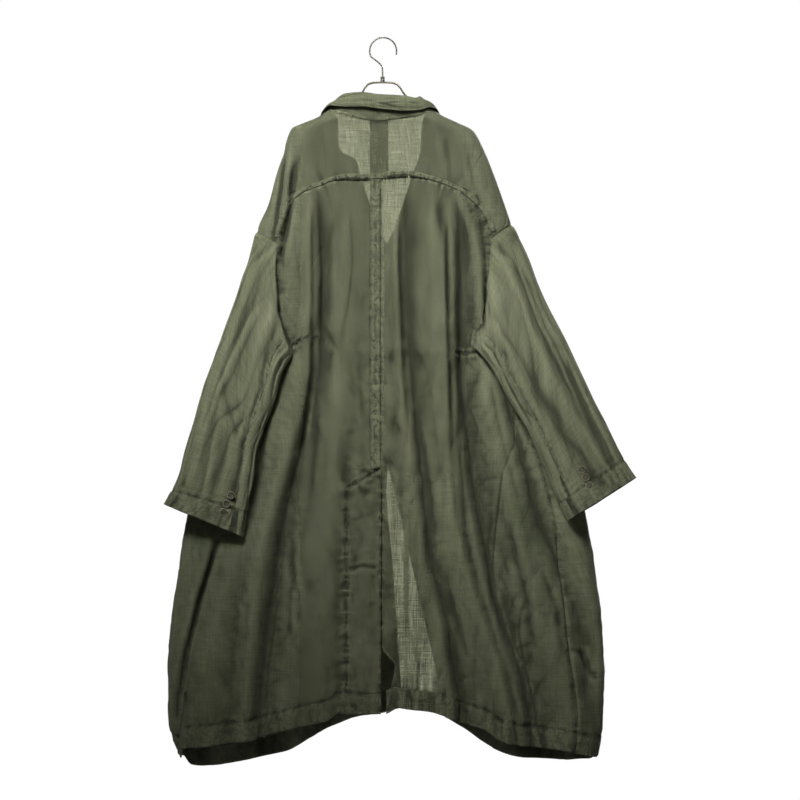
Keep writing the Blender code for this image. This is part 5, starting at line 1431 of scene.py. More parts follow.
@dataclass
class Sleeve(CoatPart):
    """A two-piece sleeve that hangs from its armhole, with a slit at the cuff."""

    side: Side
    per_station: int = 8
    rows: int = 210
    slit: float = 92 * MM
    seams: tuple[float, float] = (8 / 22, 2 / 3)

    @property
    def rings(self) -> Array:
        """Return the sleeve's rings in metres."""
        return metres(self.side.pick(SLEEVE_LEFT, SLEEVE_RIGHT))

    def rounds(self) -> Array:
        """Return the place round the sleeve of each station: 0 at the outer edge, 0.5 at the inner."""
        back, front = 11 * self.per_station, 9 * self.per_station
        return np.concatenate([0.5 * np.arange(back) / back, 0.5 + 0.5 * np.arange(front) / front])

    def hole(self) -> tuple[Array, Array, Array]:
        """Return the armhole's points and the directions out of the body and into the hole."""
        side, form, k = self.side, self.form, self.per_station
        turn = form.seam(side.pick(SHOULDER_TURN_LEFT, SHOULDER_TURN_RIGHT), 3 * k)
        back = form.seam(side.pick(ARMHOLE_BACK_LEFT, ARMHOLE_BACK_RIGHT), 8 * k)[::-1]
        front = form.seam(side.pick(ARMHOLE_FRONT_LEFT, ARMHOLE_FRONT_RIGHT), 9 * k, side.front)
        turn[-1, 0] = front[-1, 0] = front[0, 0] = side.sign
        points, normal = form.surface(*np.concatenate([turn[:0:-1], back, front[1:-1]]).T)
        inwards = unit(np.cross(normal, np.roll(points, -1, axis=0) - np.roll(points, 1, axis=0)))
        inwards *= np.sign(((points.mean(axis=0) - points) * inwards).sum())
        return points, normal, inwards

    def clear_of_body(self, points: Array, clear: float = -2.5 * MM) -> Array:
        """Move points that lie too near the body's side straight out of it.

        Args:
            points: Points of the sleeve.
            clear: The least distance from the body's form.

        Returns:
            The points, moved where they have to be.
        """
        left, right, back, front, rounding = self.form.section(points[:, 2])
        sign = self.side.sign
        middle, flat = (left + right) / 2, (right - left) / 2 - rounding
        depth = np.where(points[:, 1] < 0, back, front) + clear
        across = (sign * (points[:, 0] - middle) - flat) / (rounding + clear)
        size = np.hypot(across, points[:, 1] / depth)
        out = np.where((across > 0) & (size < 1), 1 / np.maximum(size, 1e-6), 1)
        x = middle + sign * (flat + across * out * (rounding + clear))
        return joined(np.where(out > 1, x, points[:, 0]), points[:, 1] * out, points[:, 2])

    def ring(self, index: int, rounds: Array) -> Array:
        """Return the points of one ring with the long folds on it.

        Args:
            index: The ring's number, from the shoulder down.
            rounds: The place round the sleeve of each point.

        Returns:
            The points.
        """
        rings = self.rings
        outer, inner = rings[:, [0, 2, 1]], rings[:, [3, 5, 4]]
        middles, last = (outer + inner) / 2, len(rings) - 1
        across = outer[index] - inner[index]
        width = float(np.linalg.norm(across))
        across = across / width
        along = unit(middles[min(index + 1, last)] - middles[max(index - 1, 0)])
        deep = unit(np.cross(along, across))
        deep = deep * -np.sign(deep[1])
        angle = 2 * math.pi * rounds
        flat, thick = (np.sign(wave) * np.abs(wave) ** 0.9 for wave in (np.cos(angle), np.sin(angle)))
        t = (index + 1) / len(rings)
        lift = np.zeros(len(rounds))
        folds = self.side.pick(SLEEVE_LEFT_FOLDS, SLEEVE_RIGHT_FOLDS)
        for depth, begin, finish, low, high, first, final in folds:
            off = (rounds - begin - (finish - begin) * t + 0.5) % 1 - 0.5
            fade = ease((t - first) / 0.15 + 0.5) * ease((final - t) / 0.15 + 0.5)
            sharp = 1.9 if low < 0.018 else 0.6
            lift += sharp * depth * MM * fade * bell(off / np.where(off < 0, low, high))
        return (middles[index] + across * (flat * width / 2)[:, None]
                + deep * (thick * (rings[index, 6] + lift))[:, None])

    def surface(self) -> tuple[Array, Array, Array]:
        """Return the sleeve's points, the directions outwards and the places on the flat cut."""
        hole, hole_normal, inwards = self.hole()
        rounds = self.rounds()
        rise = (HEAD_RISE[0] + (HEAD_RISE[1] - HEAD_RISE[0]) * np.sin(math.pi * rounds) ** 2) * MM
        tuck = (6.5 * bell((rounds - 0.5) / 0.07) - 3.4) * MM
        main = [hole - inwards * 7 * MM + hole_normal * tuck[:, None], hole + inwards * 0.4 * MM,
                hole + hole_normal * rise[:, None]]
        main += [self.ring(i, rounds) for i in range(len(self.rings))]
        main[3:7] = [self.clear_of_body(row) for row in main[3:7]]
        main[2] = main[2] + (main[3] - main[2]) * 0.15
        main = np.stack(main)
        along = walk(main).mean(axis=1)
        at = np.concatenate([[0], np.linspace(along[1], along[-1], self.rows)])
        grid = smooth(at, along, main)
        at = (at - along[1])[:, None]
        closed = np.concatenate([grid[:, -1:], grid, grid[:, :1]], axis=1)
        normal = unit(np.cross(np.gradient(grid, axis=0), closed[:, 2:] - closed[:, :-2]))
        if ((grid - grid.mean(axis=1, keepdims=True)) * normal).sum() < 0:
            normal = -normal
        girth = np.minimum(np.linalg.norm(closed[:, 2:] - grid, axis=-1).sum(axis=1), 0.5)[:, None]
        lift = self.relief(rounds[None], np.broadcast_to(at, grid.shape[:2]), girth, at[-1, 0])
        return grid + normal * lift[..., None], normal, joined((rounds[None] - 0.25) * girth, -at)

    def relief(self, rounds: Array, v: Array, girth: Array, length: float) -> Array:
        """Return how far creases, gathers and the turned cuff push the sleeve's cloth outwards.

        Args:
            rounds: The place round the sleeve.
            v: The way down the sleeve, in metres.
            girth: The way round the sleeve there, in metres.
            length: The sleeve's whole length.

        Returns:
            How far the cloth moves.
        """
        seed = self.side.pick(300, 400)
        swing = np.cos(2 * math.pi * rounds), np.sin(2 * math.pi * rounds)
        p, q = (wave * girth / (2 * math.pi) for wave in swing)
        u, from_cuff = rounds * girth, length - v
        seam_fade = ease(np.minimum(rounds, 1 - rounds) * girth / 0.02)
        lift = 1.0 * MM * layered(p / 0.05 + v / 0.3, q / 0.05 + v / 0.4, seed, 2)
        for k, (slant, pitch, run, height) in enumerate((
                (0.1, 0.036, 0.36, 4.2), (-0.12, 0.022, 0.24, 2.3), (0.42, 0.026, 0.1, 1.5))):
            bend = 0.3 * noise(p / 0.05, v / 0.08, seed + 40 + k)
            for way, other, share, shift in ((p, q, swing[1], 20), (q, p, swing[0], 26)):
                across, down = (way + slant * v) / pitch + bend, other / 0.25 + v / run
                facets = np.abs(noise(across, down, seed + shift + 12 * k))
                lift += height * MM * (facets - 0.3) * share**2
        eased = noise(u / 0.013, v / 0.03, seed + 70) * np.exp(-np.maximum(v, 0) / 0.014)
        gathers = layered(u / 0.011, from_cuff / 0.05, seed + 80, 2) * near_hem(from_cuff, 1, 0.016)
        lift += 1.3 * MM * (eased + gathers) * seam_fade
        lift -= 1.5 * MM * bell((from_cuff - HEM_DEPTH) / (4 * MM))
        lift += 0.6 * MM * (1 - ease((from_cuff - HEM_DEPTH + 2 * MM) / (3 * MM)))
        for seam in self.seams:
            away = np.abs(rounds - seam) * girth
            lift += 1.0 * MM * noise(v / 0.009, away / 0.02, seed + 90) * np.exp(-away / 0.007)
            lift -= 0.5 * MM * bell(away / (1.5 * MM))
        return lift * ease(v / 0.012)

    def build(self) -> None:
        """Make the top sleeve, the under sleeve, the turned cuff and the stitches."""
        k, name = self.per_station, f"sleeve_{self.side.value}"
        grid, normal, flat = self.surface()
        count = grid.shape[1]
        back, front = 8 * k, 14 * k
        length = -flat[-1, 0, 1]
        from_cuff = length + flat[..., 1]
        cuff = np.abs(from_cuff[:, 0] - HEM_DEPTH).argmin()
        for place in ((cuff, slice(None)), (slice(4, None), back - 2), (2, slice(None))):
            self.stitching.run(grid[place], normal[place])
        sewn, band = self.stitching.piece("stitches_" + name), self.cuff_turn(grid, normal, flat, cuff)
        away = np.min([np.abs(self.rounds() - seam) for seam in self.seams], axis=0)[None] * 0.4
        head = bell(np.maximum((length - from_cuff) / 0.016, 0))
        pull = np.maximum(np.maximum(near_hem(from_cuff, 0.75, 0.014), head), bell(away / 0.006))
        girth = flat[:, -1, 0] * count / (count - 1)
        for label, first, last in (("top", front, count + back), ("under", back, front)):
            stations = np.arange(first, last + 1)
            columns = stations % count
            points, out, cut = grid[:, columns].copy(), normal[:, columns], flat[:, columns].copy()
            cut[..., 0] += (stations >= count)[None] * girth[:, None]
            if label == "under":
                depth = ease((self.slit - from_cuff[:, columns]) / (14 * MM))
                reach = bell(np.arange(len(columns)) * 2.7 * MM / (16 * MM))
                points -= out * (2.6 * MM * depth * reach[None])[..., None]
            cloth_sheet(f"{name}_{label}_cloth", points, cut, out, self.linen,
                        Role("linen", (f"{name}_{label}",)), edge_wear(points, 3 * MM),
                        with_pieces=[sewn, band] if label == "top" else (), pucker=pull[:, columns])

    def cuff_turn(self, grid: Array, normal: Array, flat: Array, cuff: int) -> Piece:
        """Make the turned-up cloth inside the cuff.

        Args:
            grid: The sleeve's points.
            normal: The directions outwards.
            flat: The points on the flat cut.
            cuff: The row that the turn reaches up to.

        Returns:
            The turn.
        """
        columns = np.arange(0, grid.shape[1] + 1, 2) % grid.shape[1]
        points, outward = grid[cuff:, columns] - normal[cuff:, columns] * INNER_GAP, normal[cuff:, columns]
        cut = flat[cuff:, columns].copy()
        cut[:, -1, 0] = cut[:, -2, 0] + (cut[:, 1, 0] - cut[:, 0, 0])
        return band_mesh(f"sleeve_{self.side.value}_cuff_turn", points, cut, outward, 0.3, self.inside)


# Collar


@dataclass
class Collar:
    """The stand round the back of the neck and the crumpled fall that folds over it."""

    linen: Finish
    stitching: Stitching
    stations: int = 230

    def frames(self) -> tuple[Array, Array, Array, Array, Array]:
        """Return the base, fold and edge lines and the outward directions of the stand and of the fall."""
        stations = np.linspace(0, len(COLLAR) - 1, self.stations + 1)
        base, fold, edge = (smooth(stations, np.arange(len(COLLAR)), metres(COLLAR)[:, k]) for k in range(3))
        fold[:, 2] += 4.5 * MM * bell((fold[:, 0] - 71 * MM) / (5 * MM)) * (fold[:, 1] < 0)
        along = np.gradient(fold, axis=0)
        out, away = unit(np.cross(along, fold - base)), unit(np.cross(along, edge - fold))
        for way in (out, away):
            way *= -np.sign(way[len(way) // 2, 1])
        return base, fold, edge, out, away

    def stand(self) -> None:
        """Make the stand."""
        base, fold, _, out, _ = self.frames()
        share, along = np.linspace(0, 1, 9)[:, None], walk(fold)[None]
        low, high = base - (0, 0, 7 * MM), fold - (0, 0, 0.6 * MM)
        points = low[None] + (high - low)[None] * share[..., None]
        outward = np.repeat(out[None], 9, axis=0)
        points = points + outward * (0.5 * MM * layered(along / 0.03, share * 2, 950))[..., None]
        cloth_sheet("collar_stand_cloth", points, joined(share * 0.03, along), outward, self.linen,
                    Role("linen", ("collar_stand",), "stretched"), edge_wear(points, 3 * MM))

    def fall(self) -> None:
        """Make the fall with its lengthwise creases and the stitches along its edge."""
        _, fold, edge, out, away = self.frames()
        drop, up = edge - fold, np.array((0, 0, 1.0))
        profile = np.stack([
            fold - out * (CLOTH + 0.3 * MM), fold + out * 0.9 * MM, fold + drop * 0.35 + away * 2.2 * MM,
            fold + drop * 0.7 + away * 1.6 * MM, edge])
        turned = np.stack([up - out * 0.4, up + out * 0.8, away, away, away])
        at = np.linspace(0, 4, 33)
        points = smooth(at, np.arange(5), profile)
        outward = unit(smooth(at, np.arange(5), turned))
        along, down = walk(fold)[None], np.linspace(0, 1, 33)[:, None]
        lift = 2.4 * MM * crumple(along / 0.1 + 0 * down, down * 3.4 + along / 0.25, 960, 0.2)
        lift += 1.8 * MM * crumple(along / 0.07 + 0 * down, down * 5 - along / 0.18, 975, 0.16)
        lift += 0.9 * MM * noise(along / 0.075, down * 4 + along / 0.2, 970)
        lift += 0.45 * MM * noise(along / 0.014, down * 2, 980) * ease((down - 0.6) / 0.4)
        lift -= 0.5 * MM * bell((down - 0.86) / 0.03)
        points = points + outward * (CLOTH + lift * ease(down * 5))[..., None]
        self.stitching.run(points[-5], outward[-5])
        cloth_sheet("collar_fall_cloth", points, joined(-down * 0.035, along), outward, self.linen,
                    Role("linen", ("collar_fall",), "folded", ("collar_stand_cloth",)),
                    edge_wear(points, 3 * MM), with_pieces=[self.stitching.piece("stitches_collar")])

    def build(self) -> None:
        """Make the stand and the fall."""
        self.stand()
        self.fall()


# Finishes


@dataclass
class Nodes:
    """A small hand for placing and linking shader nodes."""

    tree: bpy.types.NodeTree

    def feed(self, node: bpy.types.Node, inputs: dict) -> None:
        """Give a node its inputs.

        Args:
            node: The node.
            inputs: Values or sockets, by the input's name or index.
        """
        for key, value in inputs.items():
            if isinstance(value, Socket):
                self.tree.links.new(value, node.inputs[key])
            else:
                node.inputs[key].default_value = value

    def add(self, kind: str, inputs: Optional[dict] = None, **settings: object) -> bpy.types.Node:
        """Place a node.

        Args:
            kind: Its type, such as ShaderNodeMath.
            inputs: Values or sockets for its inputs, by name or index.
            **settings: Its own settings.

        Returns:
            The node.
        """
        node = self.tree.nodes.new(kind)
        for key, value in settings.items():
            setattr(node, key, value)
        self.feed(node, inputs or {})
        return node

    def math(self, operation: str, *values: object) -> Socket:
        """Return the result of a Math node on up to three values or sockets."""
        return self.add("ShaderNodeMath", dict(enumerate(values)), operation=operation).outputs[0]

    def off_half(self, value: Socket) -> Socket:
        """Return how far a value lies from one half."""
        return self.math("ABSOLUTE", self.math("SUBTRACT", value, 0.5))

    def scaled(self, vector: Socket, scale: Colour, turn: float = 0.0) -> Socket:
        """Return a vector scaled, and turned in the cloth's plane."""
        return self.add("ShaderNodeMapping", {0: vector, "Scale": scale, "Rotation": (0, 0, turn)}).outputs[0]

    def noise(self, vector: Socket, scale: float, detail: float = 2.0, rough: float = 0.5) -> Socket:
        """Return noise of a given scale."""
        return self.add("ShaderNodeTexNoise", {"Vector": vector, "Scale": scale, "Detail": detail,
                                               "Roughness": rough}).outputs[0]

    def remap(self, value: Socket, low: float, high: float, to_low: float = 0.0,
              to_high: float = 1.0) -> Socket:
        """Return a value moved from one range to another, and kept inside it."""
        return self.add("ShaderNodeMapRange", {0: value, 1: low, 2: high, 3: to_low, 4: to_high}).outputs[0]

    def mark(self, label: str) -> Socket:
        """Return a mark kept at the piece's points, such as how worn the cloth is."""
        return self.add("ShaderNodeAttribute", attribute_name=label).outputs["Fac"]

    def mix(self, share: Socket, low: Colour, high: Colour) -> Socket:
        """Return a colour between two others."""
        return self.add("ShaderNodeMix", {0: share, 6: (*low, 1), 7: (*high, 1)}, data_type="RGBA").outputs[2]

    def tint(self, colour: object, strength: Socket) -> Socket:
        """Return a colour made lighter or darker."""
        return self.add("ShaderNodeVectorMath", {0: colour, "Scale": strength}, operation="SCALE").outputs[0]

    def bump(self, height: Socket, strength: float, distance: float) -> bpy.types.Node:
        """Place a Bump node that raises the surface by a height."""
        return self.add("ShaderNodeBump", {"Strength": strength, "Distance": distance, "Height": height})


def start_finish(name: str) -> tuple[Finish, Nodes, bpy.types.Node, Socket]:
    """Start a material.

    Args:
        name: Its name.

    Returns:
        The material, a hand for its nodes, its shader and the object's coordinates.
    """
    made = bpy.data.materials.new(name)
    made.use_nodes = True
    hand, shader = Nodes(made.node_tree), made.node_tree.nodes["Principled BSDF"]
    return made, hand, shader, hand.add("ShaderNodeTexCoord").outputs["Object"]


def group(name: str, inputs: dict[str, str], outputs: Sequence[str]) -> tuple[Nodes, dict, bpy.types.Node]:
    """Start a shader node group with named sockets.

    Args:
        name: The group's name.
        inputs: The kind of each input, such as Vector, by name.
        outputs: Names of its number outputs.

    Returns:
        A hand for its nodes, its inputs' sockets by name, and its output node.
    """
    tree = bpy.data.node_groups.new(name, "ShaderNodeTree")
    for label, kind in inputs.items():
        tree.interface.new_socket(name=label, in_out="INPUT", socket_type="NodeSocket" + kind)
    for label in outputs:
        tree.interface.new_socket(name=label, in_out="OUTPUT", socket_type="NodeSocketFloat")
    hand = Nodes(tree)
    return hand, hand.add("NodeGroupInput").outputs, hand.add("NodeGroupOutput")


def weave_group() -> bpy.types.NodeTree:
    """Build the plain linen weave: crossing threads of uneven thickness, with slubs both ways."""
    hand, start, end = group("linen_weave", {"Vector": "Vector"}, ("Height", "Tone", "Open"))
    vector = start["Vector"]
    wobble = hand.add("ShaderNodeVectorMath", {
        0: hand.add("ShaderNodeTexNoise", {"Vector": vector, "Scale": 90.0, "Detail": 1.0}).outputs[1],
        1: (0.0011, 0.0011, 0.0)}, operation="MULTIPLY").outputs[0]
    bent = hand.add("ShaderNodeVectorMath", {0: vector, 1: wobble}, operation="ADD").outputs[0]
    threads = [hand.add("ShaderNodeTexWave", {"Vector": bent, "Scale": 430.0, "Distortion": 0.0},
                        wave_type="BANDS", bands_direction=way).outputs[1] for way in ("X", "Y")]
    up, across = (hand.noise(hand.scaled(vector, scale), 1.0, 2.0, 0.6)
                  for scale in ((480, 24, 1), (22, 440, 1)))
    thick = hand.math("ADD", hand.remap(up, 0.56, 0.78), hand.remap(across, 0.57, 0.78))
    height = hand.math("MULTIPLY_ADD", hand.math("MULTIPLY", *threads), 0.6,
                       hand.math("MULTIPLY", thick, 0.7))
    grain = hand.math("ADD", up, across)
    gaps = hand.math("MULTIPLY_ADD", hand.remap(grain, 0.75, 1.25), -1.0, 1.0)
    hand.feed(end, {"Height": height, "Tone": hand.remap(grain, 0.72, 1.28), "Open": gaps})
    return hand.tree


def wash_group() -> bpy.types.NodeTree:
    """Build the garment wash: soft patches, fine creasing and paler worn edges, and small ticks that the
    linen uses for bumps and for painted shade in stitched puckers.
    """
    hand, start, end = group("garment_wash", {"Vector": "Vector", "Wear": "Float"},
                             ("Fade", "Crease", "Tick"))
    vector = start["Vector"]
    patches = hand.noise(hand.scaled(vector, (9, 5, 1)), 1.0, 3.0, 0.55)
    streaks = hand.noise(hand.scaled(vector, (55, 7, 1)), 1.0, 3.0, 0.6)
    soft = hand.math("MULTIPLY_ADD", patches, 0.5, hand.math("MULTIPLY", streaks, 0.5))
    mixed = hand.math("MULTIPLY_ADD", hand.noise(vector, 210.0, 3.0, 0.7), 0.55,
                      hand.remap(soft, 0.34, 0.66, -0.14, 0.58))
    rubbed = hand.math("MULTIPLY", hand.remap(hand.noise(vector, 160.0, 2.0), 0.3, 0.65), start["Wear"])
    small = hand.noise(hand.scaled(vector, (105, 75, 1), 0.3), 1.0, 1.0, 0.4)
    creased = []
    for scale, turn, share in ((20.0, 0.12, 1.0), (27.0, -0.45, 0.8), (46.0, 0.6, 0.45)):
        net = hand.noise(hand.scaled(vector, (scale, scale * 0.38, 1), turn), 1.0, 1.0, 0.4)
        creased.append(hand.remap(hand.off_half(net), 0.0, 0.035, 0.0, share))
    hand.feed(end, {"Fade": hand.math("MULTIPLY_ADD", rubbed, 0.5, mixed),
                    "Crease": hand.math("ADD", hand.math("ADD", *creased[:2]), creased[2]),
                    "Tick": hand.remap(hand.off_half(small), 0.0, 0.07, 1.0, 0.0)})
    return hand.tree


@dataclass(frozen=True)
class LinenFinish:
    """Olive linen with a garment dye, sheer where only one layer hangs against the light. Its colour also
    carries painted shade in hollows and stitched puckers, and painted highlight on ridges.
    """

    name: str
    dark: Colour = (0.074, 0.083, 0.045)
    pale: Colour = (0.132, 0.138, 0.086)
    cover: Optional[float] = None
    slub: float = 0.22

    def build(self, weave: bpy.types.NodeTree, wash: bpy.types.NodeTree) -> Finish:
        """Build the material.

        Args:
            weave: The linen_weave group.
            wash: The garment_wash group.

        Returns:
            The material.
        """
        made, hand, shader, _ = start_finish(self.name)
        cut = hand.add("ShaderNodeUVMap", uv_map="cut").outputs[0]
        worn, painted_shade_and_highlight, sheer = (hand.mark(label) for label in ("wear", "shade", "sheer"))
        cloth, washed = (hand.add("ShaderNodeGroup", {}, node_tree=tree) for tree in (weave, wash))
        hand.feed(cloth, {"Vector": cut})
        hand.feed(washed, {"Vector": cut, "Wear": worn})
        cloth, washed = cloth.outputs, washed.outputs
        tick_bump_and_painted_shade = hand.math("MULTIPLY", washed["Tick"], hand.mark("pucker"))
        # Painted shade and highlight: the shade mark darkens hollows to 0.42 and lightens ridges to 1.35 of
        # the cloth's tone.
        folded = hand.math("ADD", hand.remap(painted_shade_and_highlight, 0.0, 0.5, 0.42, 1.0),
                           hand.remap(painted_shade_and_highlight, 0.5, 1.0, 0.0, 0.35))
        tone = hand.remap(cloth["Tone"], 0.0, 1.0, 1 - self.slub, 1 + self.slub)
        tone = hand.math("MULTIPLY", tone, folded)
        # Painted shade: the ticks in stitched puckers darken the cloth's tone down to 0.62; the same ticks
        # also feed the bump.
        tone = hand.math("MULTIPLY", tone, hand.remap(tick_bump_and_painted_shade, 0.0, 1.0, 1.03, 0.62))
        if self.cover is not None:
            tone = hand.math("MULTIPLY", tone, hand.remap(sheer, 0.0, 1.0, 0.8, 1.0))
            gap = hand.math("MULTIPLY", hand.remap(cloth["Open"], 0.0, 1.0, 0.16, -0.16), hand.mark("lit"))
            thicker = hand.math("MULTIPLY_ADD", hand.math("ADD", hand.mark("dense"), worn), 0.25,
                                hand.math("ADD", gap, self.cover))
            thicker = hand.math("SUBTRACT", hand.math("MINIMUM", thicker, 1.0), 1.0)
            hand.feed(shader, {"Alpha": hand.math("MULTIPLY_ADD", thicker, sheer, 1.0)})
        creased = hand.bump(hand.math("MULTIPLY_ADD", tick_bump_and_painted_shade, -1.3, washed["Crease"]), 0.55, 0.0012)
        woven = hand.bump(cloth["Height"], 0.45, 0.0002)
        hand.feed(woven, {"Normal": creased.outputs[0]})
        hand.feed(shader, {
            "Base Color": hand.tint(hand.mix(washed["Fade"], self.dark, self.pale), tone),
            "Roughness": hand.remap(cloth["Height"], 0.0, 1.0, 0.94, 0.8), "Normal": woven.outputs[0],
            "Specular IOR Level": 0.25, "Sheen Weight": 0.12, "Sheen Roughness": 0.45,
            "Sheen Tint": (0.8, 0.84, 0.7, 1)})
        return made


@dataclass(frozen=True)
class MetalFinish:
    """Wire with a thin, slightly worn plating."""

    name: str
    colour: Colour
    tarnish: Colour
    rough: tuple[float, float] = (0.22, 0.42)

    def build(self) -> Finish:
        """Build the material."""
        made, hand, shader, place = start_finish(self.name)
        spots = hand.remap(hand.noise(place, 420.0, 4.0, 0.6), 0.45, 0.72)
        drawn = hand.noise(hand.scaled(place, (60, 60, 900)), 1.0, 3.0, 0.6)
        hand.feed(shader, {"Base Color": hand.mix(spots, self.colour, self.tarnish), "Metallic": 0.7,
                           "Roughness": hand.remap(drawn, 0.3, 0.7, *self.rough),
                           "Normal": hand.bump(drawn, 0.12, 0.0002).outputs[0]})
        return made


@dataclass(frozen=True)
class HornFinish:
    """Dark polished horn with faint paler streaks, and a painted highlight on the rim and, weaker, the
    middle.
    """

    name: str
    dark: Colour = (0.03, 0.029, 0.018)
    streak: Colour = (0.17, 0.162, 0.105)

    def build(self) -> Finish:
        """Build the material."""
        made, hand, shader, place = start_finish(self.name)
        cloudy = hand.noise(hand.scaled(place, (160, 160, 480), 0.4), 1.0, 4.0, 0.6)
        # The rim mark is a painted highlight: it makes the rim, and weaker the middle, paler.
        pale = hand.math("MULTIPLY_ADD", hand.mark("rim"), 0.85, hand.remap(cloudy, 0.46, 0.72))
        hand.feed(shader, {"Base Color": hand.mix(hand.math("MINIMUM", pale, 1.0), self.dark, self.streak),
                           "Roughness": hand.remap(cloudy, 0.3, 0.7, 0.24, 0.4),
                           "Normal": hand.bump(cloudy, 0.15, 0.0003).outputs[0]})
        return made


@dataclass(frozen=True)
class ThreadFinish:
    """Twisted sewing thread, a little darker than the cloth: painted shade along the rows of stitches."""

    name: str
    colour: Colour = (0.052, 0.06, 0.034)

    def build(self) -> Finish:
        """Build the material."""
        made, hand, shader, place = start_finish(self.name)
        twist = hand.noise(place, 1500.0, 2.0)
        hand.feed(shader, {"Base Color": hand.tint(self.colour, hand.remap(twist, 0.3, 0.7, 0.72, 1.18)),
                           "Roughness": hand.remap(twist, 0.3, 0.7, 0.9, 0.7)})
        return made


# Hard pieces


def to_mode(mode: str, action: str = "SELECT") -> None:
    """Go to a mode and, in EDIT mode, select or deselect all."""
    if bpy.context.mode != mode:
        bpy.ops.object.mode_set(mode=mode)
    if mode == "EDIT":
        bpy.ops.mesh.select_all(action=action)


def start_fresh(*chosen: Piece) -> None:
    """Go to object mode and select only the chosen pieces, the first one active."""
    to_mode("OBJECT")
    bpy.ops.object.select_all(action="DESELECT")
    for piece in chosen:
        piece.select_set(True)
        bpy.context.view_layer.objects.active = chosen[0]


def settle_mesh(piece: Piece) -> Piece:
    """Move a piece's place into its mesh and leave its object at the origin."""
    piece.data.transform(piece.matrix_basis)
    piece.matrix_basis = Matrix.Identity(4)
    return piece


def soften(piece: Piece, width: float, segments: int, degrees: float, drills: Sequence[Piece] = ()) -> None:
    """Round a piece's sharp edges and drill it.

    Args:
        piece: The piece.
        width: How wide the rounding is.
        segments: How many faces it has across.
        degrees: The least bend of an edge that is rounded.
        drills: Pieces to cut away, which are removed.
    """
    soft = piece.modifiers.new("rounded_edges", "BEVEL")
    soft.width, soft.segments, soft.angle_limit = width, segments, math.radians(degrees)
    for drill in drills:
        cut = piece.modifiers.new("hole", "BOOLEAN")
        cut.operation, cut.object, cut.solver = "DIFFERENCE", drill, "EXACT"
    start_fresh(piece)
    for modifier in list(piece.modifiers):
        bpy.ops.object.modifier_apply(modifier=modifier.name)
    for drill in drills:
        bpy.data.objects.remove(drill, do_unlink=True)


@dataclass
class Hanger:
    """The wire hanger's hook and ferrule, and the look of its frame."""

    steel: Finish
    nickel: Finish
    wire: float = WIRE * MM

    def hook(self) -> Piece:
        """Sweep the hook's wire from its tip round the bend and down the shank."""
        cx, cz = (value * MM for value in HOOK_CENTRE)
        radius = HOOK_RADIUS * MM
        tip, heel = math.radians(HOOK_TIP_DEGREES), math.radians(HOOK_HEEL_DEGREES)
        start_fresh()
        bpy.ops.mesh.primitive_circle_add(
            vertices=20, radius=self.wire, fill_type="NGON", rotation=(0, -tip, 0),
            location=(cx + radius * math.cos(tip), 0, cz + radius * math.sin(tip)))
        hook = bpy.context.active_object
        hook.name = "hook_wire"
        to_mode("EDIT")
        bpy.ops.mesh.spin(steps=54, angle=heel - tip, center=(cx, 0, cz), axis=(0, 1, 0))
        bend_end = (cx + radius * math.cos(heel), cz + radius * math.sin(heel))
        path = resample(np.concatenate([[bend_end], metres(HOOK_SWAN)]), 16)
        heading = heel + math.pi / 2
        for before, after in zip(path[:-1], path[1:]):
            step = after - before
            bpy.ops.mesh.extrude_region_move(TRANSFORM_OT_translate={"value": (step[0], 0, step[1])})
            turned = math.atan2(step[1], step[0])
            change = (turned - heading + math.pi) % (2 * math.pi) - math.pi
            bpy.ops.transform.rotate(value=change, orient_axis="Y", center_override=(after[0], 0, after[1]))
            heading = turned
        bpy.ops.mesh.select_all(action="SELECT")
        bpy.ops.mesh.remove_doubles(threshold=0.00002)
        bpy.ops.mesh.normals_make_consistent(inside=False)
        to_mode("OBJECT")
        soften(settle_mesh(hook), 0.6 * MM, 3, 50)
        bpy.ops.object.shade_smooth_by_angle(angle=math.radians(50))
        return settle(hook, self.steel, Role("wire_steel", ("hanger_hook",)))

    def ferrule(self) -> Piece:
        """Turn the ferrule that holds the hook's shank, with a rolled lip and a groove."""
        top, height = FERRULE_TOP * MM, FERRULE_LENGTH * MM
        middle = top - height / 2
        start_fresh()
        bpy.ops.mesh.primitive_cylinder_add(vertices=40, radius=FERRULE_RADIUS * MM, depth=height,
                                            location=(0, 0, middle))
        ferrule = bpy.context.active_object
        ferrule.name = "ferrule_body"
        for share in (0.3, 0.38, 0.62, 0.7):
            to_mode("EDIT")
            bpy.ops.mesh.bisect(plane_co=(0, 0, top - height * share), plane_no=(0, 0, 1))
        to_mode("EDIT", "DESELECT")
        to_mode("OBJECT")
        for polygon in ferrule.data.polygons:
            polygon.select = abs(polygon.center.z) < height * 0.05 and abs(polygon.normal.z) < 0.5
        bpy.ops.object.mode_set(mode="EDIT")
        bpy.ops.transform.resize(value=(0.9, 0.9, 1), center_override=(0, 0, middle))
        to_mode("OBJECT")
        soften(settle_mesh(ferrule), 0.5 * MM, 3, 40)
        bpy.ops.object.shade_smooth_by_angle(angle=math.radians(40))
        return settle(ferrule, self.steel, Role("wire_steel", ("hanger_ferrule",)))

    def frame(self) -> None:
        """Give the CAD frame's wire its nickel finish."""
        for slot in bpy.data.objects["hanger_frame"].material_slots:
            slot.material = self.nickel


